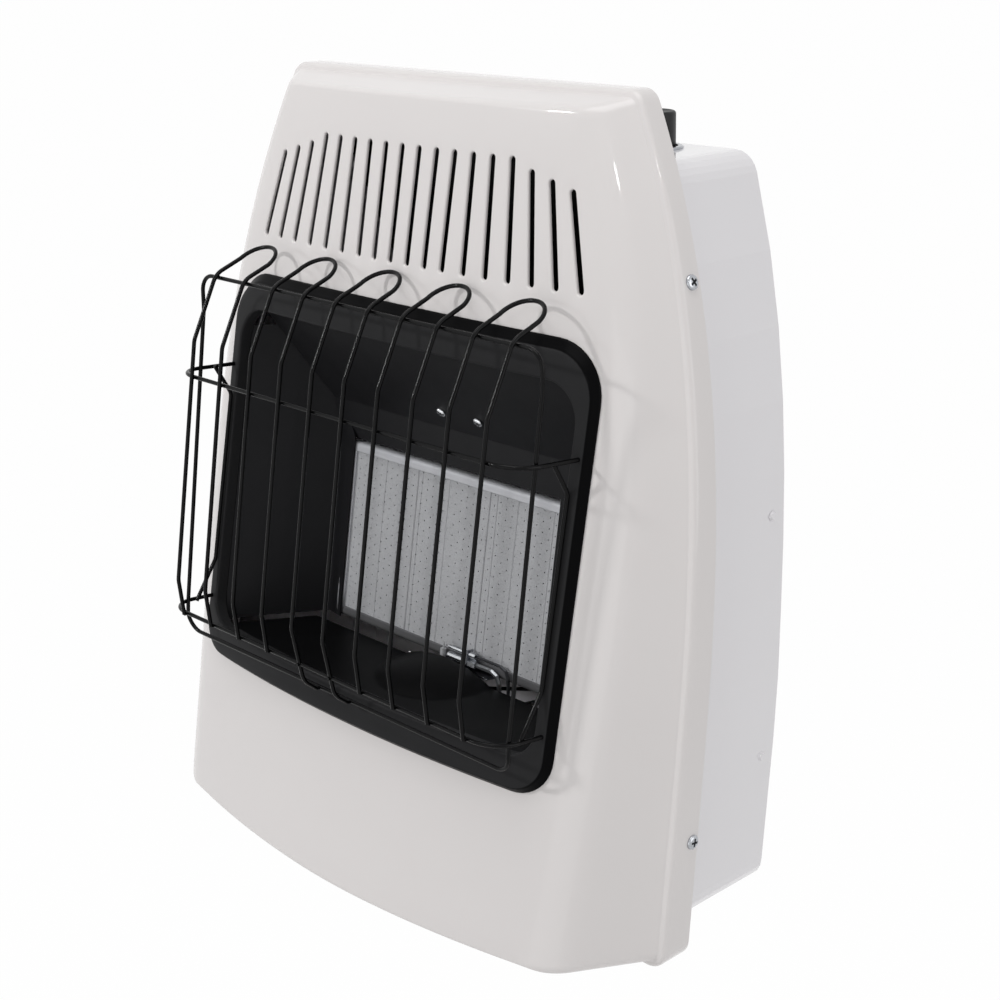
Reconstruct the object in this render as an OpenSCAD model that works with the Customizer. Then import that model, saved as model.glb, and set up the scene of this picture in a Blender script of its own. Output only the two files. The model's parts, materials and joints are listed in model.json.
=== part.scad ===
// Wall mounted radiant gas heater: leaning enamelled front with a fan of louvres,
// three ceramic plaques in a black firebox, and a welded wire guard.
// Millimetres. +X right, -Y out of the wall, +Z up; the origin is the middle of the wall face.

/* [Front panel] */
// Width of the panel over its side flanges
panel_w = 476.4; // [450:1:500]
// Height of the panel's top edge
panel_top = 289.5; // [280:0.5:300]
// Drop of the panel's bottom edge below the origin
panel_bottom = 243; // [236:1:250]
// How far the sides draw in towards the top
shoulder = 73; // [50:1:85]
// Height below the origin where the sides start to draw in
shoulder_start = 150; // [120:1:180]
// Distance of the panel's face from the wall, at the origin's height
face_depth = 174.4; // [168:0.2:182]
// Lean of the face from the vertical, in degrees
lean = 10.3; // [8:0.1:12]
// Radius of the face across its width
face_r = 1155; // [1000:5:1400]
// Thickness of the enamelled sheet
sheet = 1.2; // [0.8:0.1:1.6]
// Rounding of the panel's corners seen from the front
corner_r = 13; // [9:1:18]
// Radius of the rounded step from the flange to the front's walls
step_r = 4; // [3:0.5:5]
// Angle of the front's side walls to the straight line back, in degrees
splay = 45; // [42:1:47]
// Drop of the face's top edge below the panel's top edge
edge_top = 10.5; // [9:0.5:14]
// Rise of the face's bottom edge above the panel's bottom edge
edge_bottom = 3; // [2:0.5:6]
// Reach of the rounding between the face and the side walls, low down
round_low = 10; // [6:0.5:12]
// Reach of that rounding at the top
round_high = 4; // [3:0.5:6]

/* [Louvres] */
// Louvre slots on each side of the middle
slots = 9; // [5:1:9]
// Distance between slots along their top ends
slot_pitch = 16.15; // [14:0.05:16.5]
// Width of a slot
slot_w = 4.2; // [2:0.1:5]
// Height of the slots' bottom ends
slot_low = 173.3; // [165:0.5:180]
// Height of the middle slots' top ends
slot_high = 249.1; // [235:0.5:252]
// How much further out each slot's foot stands than the one before
slot_fan = 2.4; // [0:0.1:3]

/* [Window and bezel] */
// Half width of the window opening
open_x = 164.5; // [160:0.5:167]
// Height of the opening's top edge
open_top = 123.5; // [118:0.5:126]
// Drop of the opening's bottom edge
open_bottom = 106; // [103:0.5:108]
// Half width of the bezel
bezel_x = 177; // [175:0.5:180]
// Height of the bezel's top edge
bezel_top = 149; // [146:0.5:152]
// Drop of the bezel's bottom edge
bezel_bottom = 130; // [127:0.5:134]
// How far the bezel stands proud of the panel
bezel_h = 6; // [5:0.5:9]
// Width of the bezel's bevel
bezel_bevel = 3.7; // [3:0.1:5]

/* [Wire guard] */
// Diameter of the guard's wire
wire_d = 3.3; // [2.8:0.1:3.8]
// Distance between upright wires
leg_pitch = 32.33; // [31:0.1:33]
// Pairs of uprights, each pair joined by a hairpin loop at the top
leg_pairs = 5; // [3:2:5]
// Half width of the guard's outer frame wire
frame_x = 166.5; // [166:0.5:168]

/* [Burner] */
// Width of one ceramic plaque
plaque_w = 72.3; // [70:0.1:74]
// Height of a plaque
plaque_h = 125; // [120:1:128]
// Thickness of a plaque
plaque_t = 13; // [11:0.5:14]
// Distance of the plaques' faces from the wall, at the origin's height
plaque_depth = 98.5; // [96:0.5:101]
// Lean of the burner, in degrees
burner_lean = 8.9; // [7:0.1:10]
// Height of the plaques' middle, along the burner
plaque_mid = -41.7; // [-44:0.5:-40]
// Overlap of the frame's lips on the plaques, above and below
frame_lip = 4; // [3:0.5:5]
// Overlap of the frame's lips on the plaques at the sides
side_lip = 5.8; // [4:0.2:7]
// Depth of the mixing chamber behind the plaques
plenum_t = 26; // [22:1:28]
// Radius of the mixer tube
mixer_r = 11; // [9:0.5:11]

/* [Controls] */
// Radius of the knob
knob_r = 15.5; // [13:0.5:17]
// Height of the knob
knob_h = 22; // [20:0.5:24]
// Distance of the knob's axis from the middle
knob_x = 116; // [112:1:120]
// Distance of the knob's axis from the wall
knob_y = 30; // [27:1:32]
// Radius of the ring round the knob
ring_r = 20.5; // [19.5:0.5:22]
// Travel of the knob when it is pushed
knob_push = 5; // [3:0.5:5]
// Radius of the valve's spindle
spindle_r = 4; // [3.5:0.1:4.5]
// Free play between the spindle and what it turns or slides in
spindle_play = 0.05; // [0.03:0.01:0.08]

/* [Rear case] */
// How far the case's sides stand in from the panel's flanges
case_in = 28.7; // [26:0.1:34]
// Height of the case's top
case_top = 247; // [244:1:250]
// Drop of the case's bottom
case_bottom = 252; // [251:1:256]
// How far the case draws in at the top
case_shoulder = 34.5; // [25:0.5:40]
// Distance across between the wall screws
fix_x = 320; // [300:5:330]
// Distance up between the wall screws
fix_z = 380; // [360:5:400]
// Radius of the wall screw holes
fix_r = 3; // [2.5:0.5:4]
// Distance of the gas inlet from the middle
inlet_x = 150; // [140:1:160]
// Distance of the gas inlet from the wall
inlet_y = 45; // [40:1:50]
// Radius of the inlet's thread bore
inlet_r = 9.3; // [8.5:0.1:9.8]

/* [Hidden] */
$fn = 48;

// Clearance between folded sheets that lie on each other
lay = 0.3;
// Finish colours
enamel = "#e9e6e3";
case_grey = "#d9dadb";
black = "#1b1b1d";
zinc = "#c3c6c9";
brass = "#c8a24a";
ceramic = "#dcdad4";

// ---- shared shapes -------------------------------------------------------

function unit(v) = v / norm(v);
function sag(x) = face_r - sqrt(face_r * face_r - x * x);

// Front face of the panel: a cylinder of radius face_r, leant back by lean
function face_y(x, z) = -face_depth + z * tan(lean) + sag(x) / cos(lean);
// Point on the face, in its own leaning frame: u across, v up the slope, h proud of the sheet
function on_face(u, v, h) =
    let (y = sag(u) - h)
    [u, -face_depth + y * cos(lean) + v * sin(lean), -y * sin(lean) + v * cos(lean)];

// The panel's sides: straight below, drawn in by a cubic towards the top
function half_w(z) = panel_w / 2 - shoulder * pow(max(0, (z + shoulder_start) / 430), 3);
function side_tilt(z) = atan(3 * shoulder * pow(max(0, (z + shoulder_start) / 430), 2) / 430);
// Foot of the front's walls, where they rise from the step
function valley_y(z) = -95 - (270 - z) * 0.1;
function flange_y(z) = -79 - (270 - z) * 0.083;

function arc2(c, r, a0, a1, n) = [for (i = [0 : n]) let (a = a0 + (a1 - a0) * i / n)
    [c[0] + r * cos(a), c[1] + r * sin(a)]];

// Half width of the face at its edge, where a side wall splayed from the valley meets it
function corner_x(z) =
    let (w = half_w(z) - step_r, a = valley_y(z) + face_depth - z * tan(lean),
         near = w - (a - sag(w - 30) / cos(lean)) * tan(splay))
    w - (a - sag(near) / cos(lean)) * tan(splay);

// Right half of a rim from bottom middle to top middle: the flange's, or the face's own;
// its side is drawn in by s[0] at the bottom and s[1] at the top
function rim_half(face, zb, zt, rb, rt, s) =
    let (t = face ? atan((corner_x(zt - 10) - corner_x(zt)) / 10) : side_tilt(zt),
         zs = zt - rt * (1 - sin(t)), z0 = zb + rb)
    let (ws = rim_w(face, zs, zb, zt, s), wb = rim_w(face, zb, zb, zt, s))
    concat([for (i = [0 : 5]) [(wb - rb) * i / 6, zb]],
           arc2([wb - rb, z0], rb, -90, 0, 4),
           [for (i = [1 : 17]) let (z = z0 + (zs - z0) * i / 18) [rim_w(face, z, zb, zt, s), z]],
           arc2([ws - rt * cos(t), zs - rt * sin(t)], rt, t, 90, 4),
           [for (i = [5 : -1 : 0]) [(ws - rt * cos(t)) * i / 6, zt]]);
function rim_w(face, z, zb, zt, s) =
    (face ? corner_x(z) : half_w(z)) - s[0] - (s[1] - s[0]) * (z - zb) / (zt - zb);

// Right half of the panel's outline, drawn in by d
function panel_half(d) =
    rim_half(false, -panel_bottom + d, panel_top - d, corner_r - d, corner_r - d, [d, d]);

function closed_half(h) = concat(h, [for (i = [len(h) - 2 : -1 : 1]) [-h[i][0], h[i][1]]]);

// Rounded rectangle as [u, v] points, with its own radii above and below
function round_rect(x, top, bottom, r_top, r_bottom, n = 5) = concat(
    [for (i = [1 : 6]) [(x - r_bottom) * (i / 3.5 - 1), -bottom]],
    arc2([x - r_bottom, -bottom + r_bottom], r_bottom, -90, 0, n),
    [for (i = [1 : 3]) [x, -bottom + r_bottom + (top + bottom - r_top - r_bottom) * i / 4]],
    arc2([x - r_top, top - r_top], r_top, 0, 90, n),
    [for (i = [6 : -1 : 1]) [(x - r_top) * (i / 3.5 - 1), top]],
    arc2([-x + r_top, top - r_top], r_top, 90, 180, n),
    [for (i = [3 : -1 : 1]) [-x, -bottom + r_bottom + (top + bottom - r_top - r_bottom) * i / 4]],
    arc2([-x + r_bottom, -bottom + r_bottom], r_bottom, 180, 270, n));

// Skin between rings of n points each; the rings close round, the stack closes if wrap is true
function skin(rings, n, wrap) = [for (k = [0 : rings - (wrap ? 1 : 2)], i = [0 : n - 1], h = [0, 1])
    let (a = k * n, b = ((k + 1) % rings) * n, j = (i + 1) % n)
    h == 0 ? [a + i, b + i, b + j] : [a + i, b + j, a + j]];

function flat(lists) = [for (l = lists, p = l) p];

// Case outline, right half, bottom middle to top middle
case_x = panel_w / 2 - case_in;
function case_w(z) = case_x - case_shoulder * pow(max(0, (z + 80) / 320), 3)
    - 0.06 * max(0, -112 - z);
function case_half(d) =
    let (r = 18 - d, zb = -case_bottom + d, zt = case_top - d, wb = case_w(zb + r) - d,
         t = 17, zs = zt - r * (1 - sin(t)), ws = case_w(zs) - d)
    concat([[0, zb]], arc2([wb - r, zb + r], r, -90, 0, 5),
           [for (i = [1 : 9]) let (z = zb + r + (zs - zb - r) * i / 10) [case_w(z) - d, z]],
           arc2([ws - r * cos(t), zs - r * sin(t)], r, t, 90, 5), [[0, zt]]);

// Outline given as [x, z] points, extruded from y0 towards the room by depth
module wall_prism(points, y0, depth) {
    translate([0, y0, 0]) rotate([90, 0, 0]) linear_extrude(depth) polygon(points);
}

// Corner at b between a and c, rounded to radius r in n steps
function bend(a, b, c, r, n) =
    let (u = unit(a - b), w = unit(c - b), t = acos(max(-1, min(1, u * w))),
         m = b + unit(u + w) * (r / sin(t / 2)), s = b + u * (r / tan(t / 2)),
         e1 = unit(s - m), e = b + w * (r / tan(t / 2)) - m, e2 = unit(e - (e * e1) * e1))
    [for (i = [0 : n]) let (p = (180 - t) * i / n) m + r * (cos(p) * e1 + sin(p) * e2)];

// Straight runs between corners, each inner corner rounded
function run(pts, r, n = 4) = concat([pts[0]],
    flat([for (i = [1 : len(pts) - 2]) bend(pts[i - 1], pts[i], pts[i + 1], r, n)]),
    [pts[len(pts) - 1]]);

// Round tube along a path; rings are carried along so that it never twists
module sweep(path, r, sides = 8, loop = false, up = [0, 0, 1]) {
    n = len(path);
    tan = [for (i = [0 : n - 1])
        let (a = loop ? path[(i + n - 1) % n] : path[max(0, i - 1)],
             b = loop ? path[(i + 1) % n] : path[min(n - 1, i + 1)]) unit(b - a)];
    side = [for (i = 0, s = unit(up - (up * tan[0]) * tan[0]); i < n;
        i = i + 1, s = i < n ? unit(s - (s * tan[i]) * tan[i]) : s) s];
    pts = [for (i = [0 : n - 1], k = [0 : sides - 1])
        let (a = 360 * (k + 0.5) / sides)
        path[i] + r * (cos(a) * side[i] + sin(a) * cross(tan[i], side[i]))];
    caps = loop ? [] : [[for (k = [0 : sides - 1]) k],
        [for (k = [sides - 1 : -1 : 0]) (n - 1) * sides + k]];
    polyhedron(pts, concat(skin(n, sides, loop), caps), convexity = 8);
}

// Folded plate: rows of points, given thickness along t
module folded(rows, t) {
    m = len(rows[0]);
    n = len(rows);
    top = flat(rows);
    pts = concat(top, [for (p = top) p + t]);
    q = m * n;
    faces = concat(
        [for (j = [0 : n - 2], i = [0 : m - 2], h = [0, 1]) let (a = j * m + i)
            h == 0 ? [a, a + 1, a + m + 1] : [a, a + m + 1, a + m]],
        [for (j = [0 : n - 2], i = [0 : m - 2], h = [0, 1]) let (a = q + j * m + i)
            h == 0 ? [a, a + m + 1, a + 1] : [a, a + m, a + m + 1]],
        [for (i = [0 : m - 2], h = [0, 1]) h == 0 ? [i, q + i, q + i + 1] : [i, q + i + 1, i + 1]],
        [for (i = [0 : m - 2], h = [0, 1]) let (a = (n - 1) * m + i)
            h == 0 ? [a, q + a + 1, q + a] : [a, a + 1, q + a + 1]],
        [for (j = [0 : n - 2], h = [0, 1]) let (a = j * m)
            h == 0 ? [a, q + a + m, q + a] : [a, a + m, q + a + m]],
        [for (j = [0 : n - 2], h = [0, 1]) let (a = j * m + m - 1)
            h == 0 ? [a, q + a, q + a + m] : [a, q + a + m, a + m]]);
    polyhedron(pts, faces, convexity = 6);
}

module on_burner() { translate([0, -plaque_depth, 0]) rotate([-burner_lean, 0, 0]) children(); }
// The same, for a point
function at_burner(x, y, v) = [x, -plaque_depth + y * cos(burner_lean) + v * sin(burner_lean),
    -y * sin(burner_lean) + v * cos(burner_lean)];

// Pan head screw: head's seat at the origin, shank along -Z
module screw(head_r, shank_r, length) {
    cylinder(r1 = head_r, r2 = head_r * 0.72, h = head_r * 0.5);
    translate([0, 0, -length]) cylinder(r = shank_r, h = length);
}

// ---- front ---------------------------------------------------------------

// Screws through the panel's flanges: [y, z]
panel_fix = [[-93.7, 182.5], [-120, -160]];

module at_panel_fix() {
    for (s = [-1, 1], p = panel_fix)
        translate([s * half_w(p[1]), p[0], p[1]]) rotate([0, s * (90 - side_tilt(p[1])), 0])
            children();
}

// One skin of the panel: flange, rounded step, splayed walls, rounding and face, drawn in by d
function panel_skin(d) =
    let (o = closed_half(panel_half(d)), r = step_r - d,
         turn = closed_half(panel_half(step_r - r * cos(45))),
         k = d * (cos(splay) - (1 - sin(splay)) * tan(splay)),
         low = -panel_bottom + d, high = panel_top - d,
         v = closed_half(rim_half(false, low + step_r, high - step_r, corner_r - step_r,
             corner_r - step_r, [step_r + k, step_r + k])),
         c = closed_half(rim_half(true, low + edge_bottom, high - edge_top, 25, 10, [k, k])),
         f = closed_half(rim_half(true, low + edge_bottom + 5, high - edge_top - 3, 18, 7,
             [round_low + k, round_high + k])),
         n = [0 : len(o) - 1], zc = (low + high) / 2,
         valley = [for (p = v) [p[0], valley_y(p[1]) + d, p[1]]],
         edge = [for (p = c) [p[0], face_y(p[0], p[1]) + d, p[1]]],
         inner = [for (p = f) [p[0], face_y(p[0], p[1]) + d, p[1]]],
         foot = [for (i = n) edge[i] + (valley[i] - edge[i])
             * min(0.5, norm(edge[i] - inner[i]) / norm(valley[i] - edge[i]))])
    flat(concat(
        [[for (p = o) [p[0], flange_y(p[1]), p[1]]]],
        [[for (p = o) [p[0], valley_y(p[1]) + step_r, p[1]]]],
        [[for (p = turn) [p[0], valley_y(p[1]) + step_r - r * sin(45), p[1]]]],
        [valley],
        [for (t = [0, 0.3, 0.5, 0.7, 1]) [for (i = n)
            foot[i] * (1 - t) * (1 - t) + edge[i] * 2 * t * (1 - t) + inner[i] * t * t]],
        [for (s = [0.8, 0.6, 0.4, 0.2]) [for (q = f)
            let (x = q[0] * s, z = zc + (q[1] - zc) * s) [x, face_y(x, z) + d, z]]],
        [[[0, face_y(0, zc) + d, zc]]]));

module panel_sheet() {
    n = len(closed_half(panel_half(0)));
    rings = 13;
    outer = panel_skin(0);
    inner = panel_skin(sheet);
    m = rings * n;
    wall = skin(rings, n, false);
    fan = [for (i = [0 : n - 1]) [(rings - 1) * n + i, m, (rings - 1) * n + (i + 1) % n]];
    front = concat(wall, fan);
    back = [for (f = front) [f[0] + m + 1, f[2] + m + 1, f[1] + m + 1]];
    edge = [for (i = [0 : n - 1], h = [0, 1]) let (j = (i + 1) % n)
        h == 0 ? [i, j, m + 1 + j] : [i, m + 1 + j, m + 1 + i]];
    polyhedron(concat(outer, inner), concat(front, back, edge), convexity = 10);
}

function slot_top_x(j) = slot_pitch * (j + 0.5);
function slot_foot_x(j) = slot_top_x(j) + slot_fan * max(0, j - 2);
function slot_top_z(j) = slot_high - (j > 5 ? 2 + 4.5 * (j - 5) : 0);

module front_panel() {
    color(enamel) difference() {
        panel_sheet();
        // window, just inside the bezel
        translate([0, -100, 0]) rotate([90, 0, 0]) linear_extrude(140) polygon(round_rect(
            open_x + 4, open_top + 8, open_bottom + 6, 28, 23));
        // louvres
        for (s = [-1, 1], j = [0 : slots - 1]) hull() {
            translate([s * slot_top_x(j), -100, slot_top_z(j) - slot_w / 2]) rotate([90, 0, 0])
                cylinder(d = slot_w, h = 60, $fn = 10);
            translate([s * slot_foot_x(j), -100, slot_low + slot_w / 2]) rotate([90, 0, 0])
                cylinder(d = slot_w, h = 60, $fn = 10);
        }
        at_panel_fix() cylinder(r = 2.4, h = 12, center = true, $fn = 16);
    }
}

module panel_screws() {
    color(zinc) at_panel_fix() screw(4.75, 2, 9);
}

// Guard wire holes in the bezel: [x, height]
guard_in = 170.6;
guard_in_z = [80, -90];

module window_bezel() {
    c = cos(lean);
    function ring(x, top, bottom, rt, rb, o, h) = [for (p = round_rect(
        x - o, top / c - o, bottom / c - o, rt - o, rb - o)) on_face(p[0], p[1], h)];
    function outer(o, h) = ring(bezel_x, bezel_top, bezel_bottom, 35, 27, o, h);
    function inner(o, h) = ring(open_x, open_top, open_bottom, 25, 20, -o, h);
    rings = [outer(0, 0.35), outer(bezel_bevel, bezel_h), inner(3, bezel_h), inner(0, bezel_h - 3),
        inner(0, -3), inner(sheet, -3), inner(sheet, bezel_h - 3.4), inner(3, bezel_h - sheet),
        outer(bezel_bevel + 0.4, bezel_h - sheet), outer(sheet + 0.4, 0.35)];
    n = len(rings[0]);
    color(black) difference() {
        polyhedron(flat(rings), skin(len(rings), n, true), convexity = 8);
        for (s = [-1, 1], z = guard_in_z)
            translate([s * guard_in, face_y(guard_in, z) + 1, z]) rotate([90, 0, 0])
                cylinder(d = wire_d + 0.7, h = 20, $fn = 12);
    }
}

// ---- wire guard ----------------------------------------------------------

// Upright wire seen from the side: foot, lower bend, upper bend, shoulder, start of the hairpin
leg_foot = [-226, -86];
leg_low = [-229, -59];
leg_high = [-203, 110];
leg_shoulder = [-181.8, 153];
pin_start = [-160.7, 160.9];
pin_rise = 29.3;
toe_end = [-210.5, -107.6];

module wire_guard() {
    r = wire_d / 2;
    w = wire_d * 0.9;
    hp = leg_pitch / 2;
    function leg(x, toe) = run([for (q = concat(
        toe ? [toe_end, [-221, -99]] : [leg_foot], [leg_low, leg_high, leg_shoulder, pin_start]))
        [x, q[0], q[1]]], 11, 3);
    function reversed(l) = [for (i = [len(l) - 1 : -1 : 0]) l[i]];
    // each hairpin joins one upright to the next, in a plane that rises towards the wall
    function pair(c, toe) = concat(leg(c - hp, toe), [for (a = [155 : -25 : 25])
        [c + hp * cos(a), pin_start[0] + hp * sin(a) * cos(pin_rise),
         pin_start[1] + hp * sin(a) * sin(pin_rise)]], reversed(leg(c + hp, toe)));
    // where an upright is at height z, and the wire that lies behind it there
    function leg_y(z) = leg_low[0] + (leg_high[0] - leg_low[0]) * (z - leg_low[1])
        / (leg_high[1] - leg_low[1]);
    brace_x = guard_in - w;
    function beside(z) = face_y(brace_x, z) - (bezel_h + r + 0.4) / cos(lean);
    up_z = 84;
    low_z = -86;
    up_y = leg_y(up_z) + w;
    low_y = leg_foot[0] + w;
    top = [leg_shoulder[0] + 0.66 * w + 1.2, leg_shoulder[1] - 0.75 * w - 1];
    bottom = [toe_end[0] + w + 0.6, toe_end[1] - 0.4];
    arm_x = frame_x + w;
    half = (leg_pairs - 1) / 2;
    color(black) union() {
        for (k = [-half : half]) sweep(pair(k * 2 * leg_pitch, k == 0), r, 6, up = [1, 0, 0]);
        // outer frame wire
        frame = [[frame_x, top[0], top[1]], [frame_x, -179, 125], [frame_x, -209.5, -92],
            [frame_x, bottom[0], bottom[1]]];
        side = concat(bend([0, top[0], top[1]], frame[0], frame[1], 12, 4),
            [frame[1], frame[2] + [0, 1.5, 6]],
            bend(frame[2], frame[3], [0, bottom[0], bottom[1]], 12, 4));
        sweep(concat(side, [for (i = [len(side) - 1 : -1 : 0]) [-side[i][0], side[i][1], side[i][2]]]),
            r, 6, loop = true, up = [0, 1, 0]);
        // two wires that carry the guard from the bezel and cross behind the uprights
        for (q = [[guard_in_z[0], up_y, up_z], [guard_in_z[1], low_y, low_z]]) {
            y0 = face_y(guard_in, q[0]) - bezel_h + 4;
            sweep(run([[guard_in, y0, q[0]], [arm_x, q[1], q[2]], [-arm_x, q[1], q[2]],
                [-guard_in, y0, q[0]]], 22, 5), r, 6, up = [0, 0, 1]);
        }
        // side braces between the arms, just clear of the bezel
        for (s = [-1, 1]) sweep(run([[s * brace_x, -172, 82.6], [s * brace_x, beside(60), 60],
            [s * brace_x, beside(-61), -61], [s * brace_x, -200, -89.2]], 7, 3), r, 6,
            up = [1, 0, 0]);
        // weld necks where the uprights meet the wires behind them
        for (k = [-leg_pairs + 0.5 : leg_pairs - 0.5]) {
            x = k * leg_pitch;
            weld([x, leg_y(up_z), up_z], [x, up_y, up_z]);
            weld([x, leg_foot[0], low_z], [x, low_y, low_z]);
            weld([x, leg_shoulder[0] + 0.6, leg_shoulder[1] - 1], [x, top[0], top[1]]);
        }
        for (s = [-1, 1]) weld([s * leg_pitch / 2, toe_end[0], toe_end[1]],
            [s * leg_pitch / 2, bottom[0], bottom[1]]);
    }
}

module weld(a, b) {
    hull() for (p = [a, b]) translate(p) sphere(d = wire_d * 0.86, $fn = 6);
}

// ---- firebox -------------------------------------------------------------

// Cheek: lip behind the bezel, splayed plate back to the burner, cut away above its rear corner
cheek_top = 107;
cheek_foot = -109;
cheek_rear = [[126, -91, 58], [126, -110, -110]];
cheek_cut = [143, -110];

module cheek(s) {
    x = open_x + sheet + lay;
    front = [for (z = [cheek_top, cheek_foot]) [[x, face_y(x, z) + 3 + 2 * lay, z],
        [x + 9, face_y(x + 10.5, z) + sheet + lay, z]]];
    mid = [[cheek_cut[0], cheek_cut[1], cheek_top],
        (cheek_rear[1] + front[1][0]) / 2 + [0, 0, -0.3]];
    rows = [for (i = [0, 1]) [cheek_rear[i], mid[i], front[i][0], front[i][1]]];
    color(black) mirror([s > 0 ? 0 : 1, 0, 0]) folded(rows, [1, 0.6, 0]);
}
module left_cheek() { cheek(-1); }
module right_cheek() { cheek(1); }

// Columns across a sheet whose front edge follows the panel's curve
function across(half) = [for (i = [-3 : 3]) half * i / 3];
function row_at(half, y, z) = [for (x = across(half)) [x, y, z]];
function row_behind(half, z) = [for (x = across(half)) [x, face_y(x, z) + sheet + lay, z]];

hood_screw_x = [2, 38];
hood_fold = [-98, 54];
hood_foot = (plaque_mid + plaque_h / 2) * cos(burner_lean) + 5.45;
module at_hood_screws() {
    a = face_y(0, open_top + 3) + sheet + lay - hood_fold[0];
    b = open_top + 3 - hood_fold[1];
    for (x = hood_screw_x) translate([x, hood_fold[0] + a * 0.2, hood_fold[1] + b * 0.2])
        rotate([180 - atan2(-a, -b) + 90, 0, 0]) children();
}
module heat_hood() {
    color(black) difference() {
        folded([row_behind(152, open_top + 20), row_behind(157, open_top + 3),
            row_at(125, hood_fold[0], hood_fold[1]), row_at(120, -95, hood_foot)], [0, 0.9, 0.9]);
        at_hood_screws() cylinder(r = 1.6, h = 12, center = true);
    }
}
module hood_screws() {
    color(zinc) at_hood_screws() translate([0, 0, 0.1]) screw(2.75, 1.5, 6);
}

dome_at = [20, -132];
dome_r = 44;
dome_h = 9.5;
floor_z = -110;
floor_rear = -124;
// Profile of the dome's shell, from its rim to its top
function dome(r, h) = let (ball = (r * r + h * h) / (2 * h), a = asin(r / ball))
    [for (i = [0 : 6]) [ball * sin(a * (1 - i / 6)), h - ball + ball * cos(a * (1 - i / 6))]];
module firebox_floor() {
    inner = dome(dome_r - 1.2, dome_h - 1);
    color(black) difference() {
        union() {
            difference() {
                folded([row_behind(158, floor_z - 13), row_behind(160, floor_z - 1),
                    row_at(124, floor_rear, floor_z - 1)], [0, 0.5, 1]);
                translate([dome_at[0], dome_at[1], floor_z - 5]) cylinder(r = dome_r - 1.2, h = 20);
            }
            translate([dome_at[0], dome_at[1], floor_z]) rotate_extrude()
                polygon(concat(dome(dome_r, dome_h), [for (i = [6 : -1 : 0]) inner[i]]));
        }
        translate([-100, floor_rear, floor_z - 3]) cube([200, 100, 20]);
    }
}

shield_y = 38.5;
module top_baffle() {
    color(black) folded([row_behind(142, case_top + 9), row_at(146, -62, case_top - 11), row_at(100, -45, 128),
        row_at(98, -shield_y - lay - 1, 118), row_at(98, -shield_y - lay - 1, 106)], [0, 1, 0]);
}

// Channel on the back plate: its face keeps the burner's heat off the wall
module heat_shield() {
    w = 130;
    z0 = -118;
    z1 = 118;
    color(zinc) difference() {
        translate([-w - 12, -shield_y, z0]) cube([2 * w + 24, shield_y - 1.5, z1 - z0]);
        translate([-w + 1, -shield_y + 1, z0 - 1]) cube([2 * w - 2, shield_y, z1 - z0 + 2]);
        for (s = [-1, 1]) translate([s * (w + 10) - 10, -shield_y - 1, z0 - 1])
            cube([20, shield_y - 1.5, z1 - z0 + 2]);
    }
}

// ---- burner --------------------------------------------------------------

field = plaque_w * 3 + 0.8;
burner_foot = plaque_mid - plaque_h / 2;
module plaque(k) {
    color(ceramic) on_burner() translate([(plaque_w + 0.4) * k - plaque_w / 2, 0, burner_foot])
        cube([plaque_w, plaque_t, plaque_h]);
}
module plaque_left() { plaque(-1); }
module plaque_centre() { plaque(0); }
module plaque_right() { plaque(1); }

frame_wall = 3;
module burner_frame() {
    w = field + 2 * lay;
    h = plaque_h + 2 * lay;
    color("#a9abad") on_burner() translate([0, 0, plaque_mid]) difference() {
        translate([-w / 2 - frame_wall, -1.5, -h / 2 - frame_wall])
            cube([w + 2 * frame_wall, plaque_t + 2, h + 2 * frame_wall]);
        translate([-w / 2, -lay, -h / 2]) cube([w, plaque_t + 7, h]);
        translate([-w / 2 + side_lip, -2, -h / 2 + frame_lip])
            cube([w - 2 * side_lip, 3, h - 2 * frame_lip]);
    }
}

// Mixing chamber behind the plaques; the mixer tube enters its right side
mixer_up = plaque_mid + 18;
mixer_in = plaque_t + lay + plenum_t / 2;
module burner_plenum() {
    color(zinc) on_burner() translate([0, plaque_t + lay, plaque_mid]) difference() {
        translate([-field / 2, 0, -plaque_h / 2]) cube([field, plenum_t, plaque_h]);
        translate([-field / 2 + 1.5, -1, -plaque_h / 2 + 1.5])
            cube([field - 3, plenum_t - 0.5, plaque_h - 3]);
        translate([field / 2 - 5, mixer_in - plaque_t - lay, mixer_up - plaque_mid])
            rotate([0, 90, 0]) cylinder(r = mixer_r, h = 10);
    }
}

// Frame of the mixer: +Z out along the tube, -X up
module at_mixer() {
    on_burner() translate([field / 2, mixer_in, mixer_up]) rotate([0, 90, 0]) children();
}
bell = case_x - 54.65 - field / 2;
module mixer_tube() {
    ri = mixer_r - 1.2;
    ro = mixer_r - 0.05;
    color(zinc) at_mixer() rotate_extrude() polygon([[ri, -40], [ro, -40], [ro, bell - 16],
        [mixer_r + 3, bell], [mixer_r + 2, bell], [ri, bell - 16]]);
}

jet_gap = 8;
jet_r = 3.2;
jet_hex = bell + jet_gap + 6.3;
module injector() {
    color(brass) at_mixer() difference() {
        union() {
            translate([0, 0, bell + jet_gap]) cylinder(r = jet_r, h = 6.5);
            translate([0, 0, jet_hex]) cylinder(r = 7.5, h = 8, $fn = 6);
            translate([0, 0, jet_hex + 8]) cylinder(r = 5.5, h = 7);
        }
        translate([0, 0, jet_hex + 4]) cylinder(r = 4.05, h = 20);
        translate([0, 0, bell]) cylinder(r = 0.8, h = 30);
    }
}

module injector_bracket() {
    up = mixer_r + 6.5;
    color(zinc) at_mixer() difference() {
        union() {
            translate([-up - 1.5, -9, lay]) cube([1.5, 18, jet_hex - 0.3 - lay]);
            translate([-up - 1.5, -9, jet_hex - 1.8]) cube([up + 9, 18, 1.5]);
            translate([-up - 12, -9, lay]) cube([12, 18, 1.5]);
        }
        translate([0, 0, bell]) cylinder(r = jet_r + 0.1, h = 40);
    }
}

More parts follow.
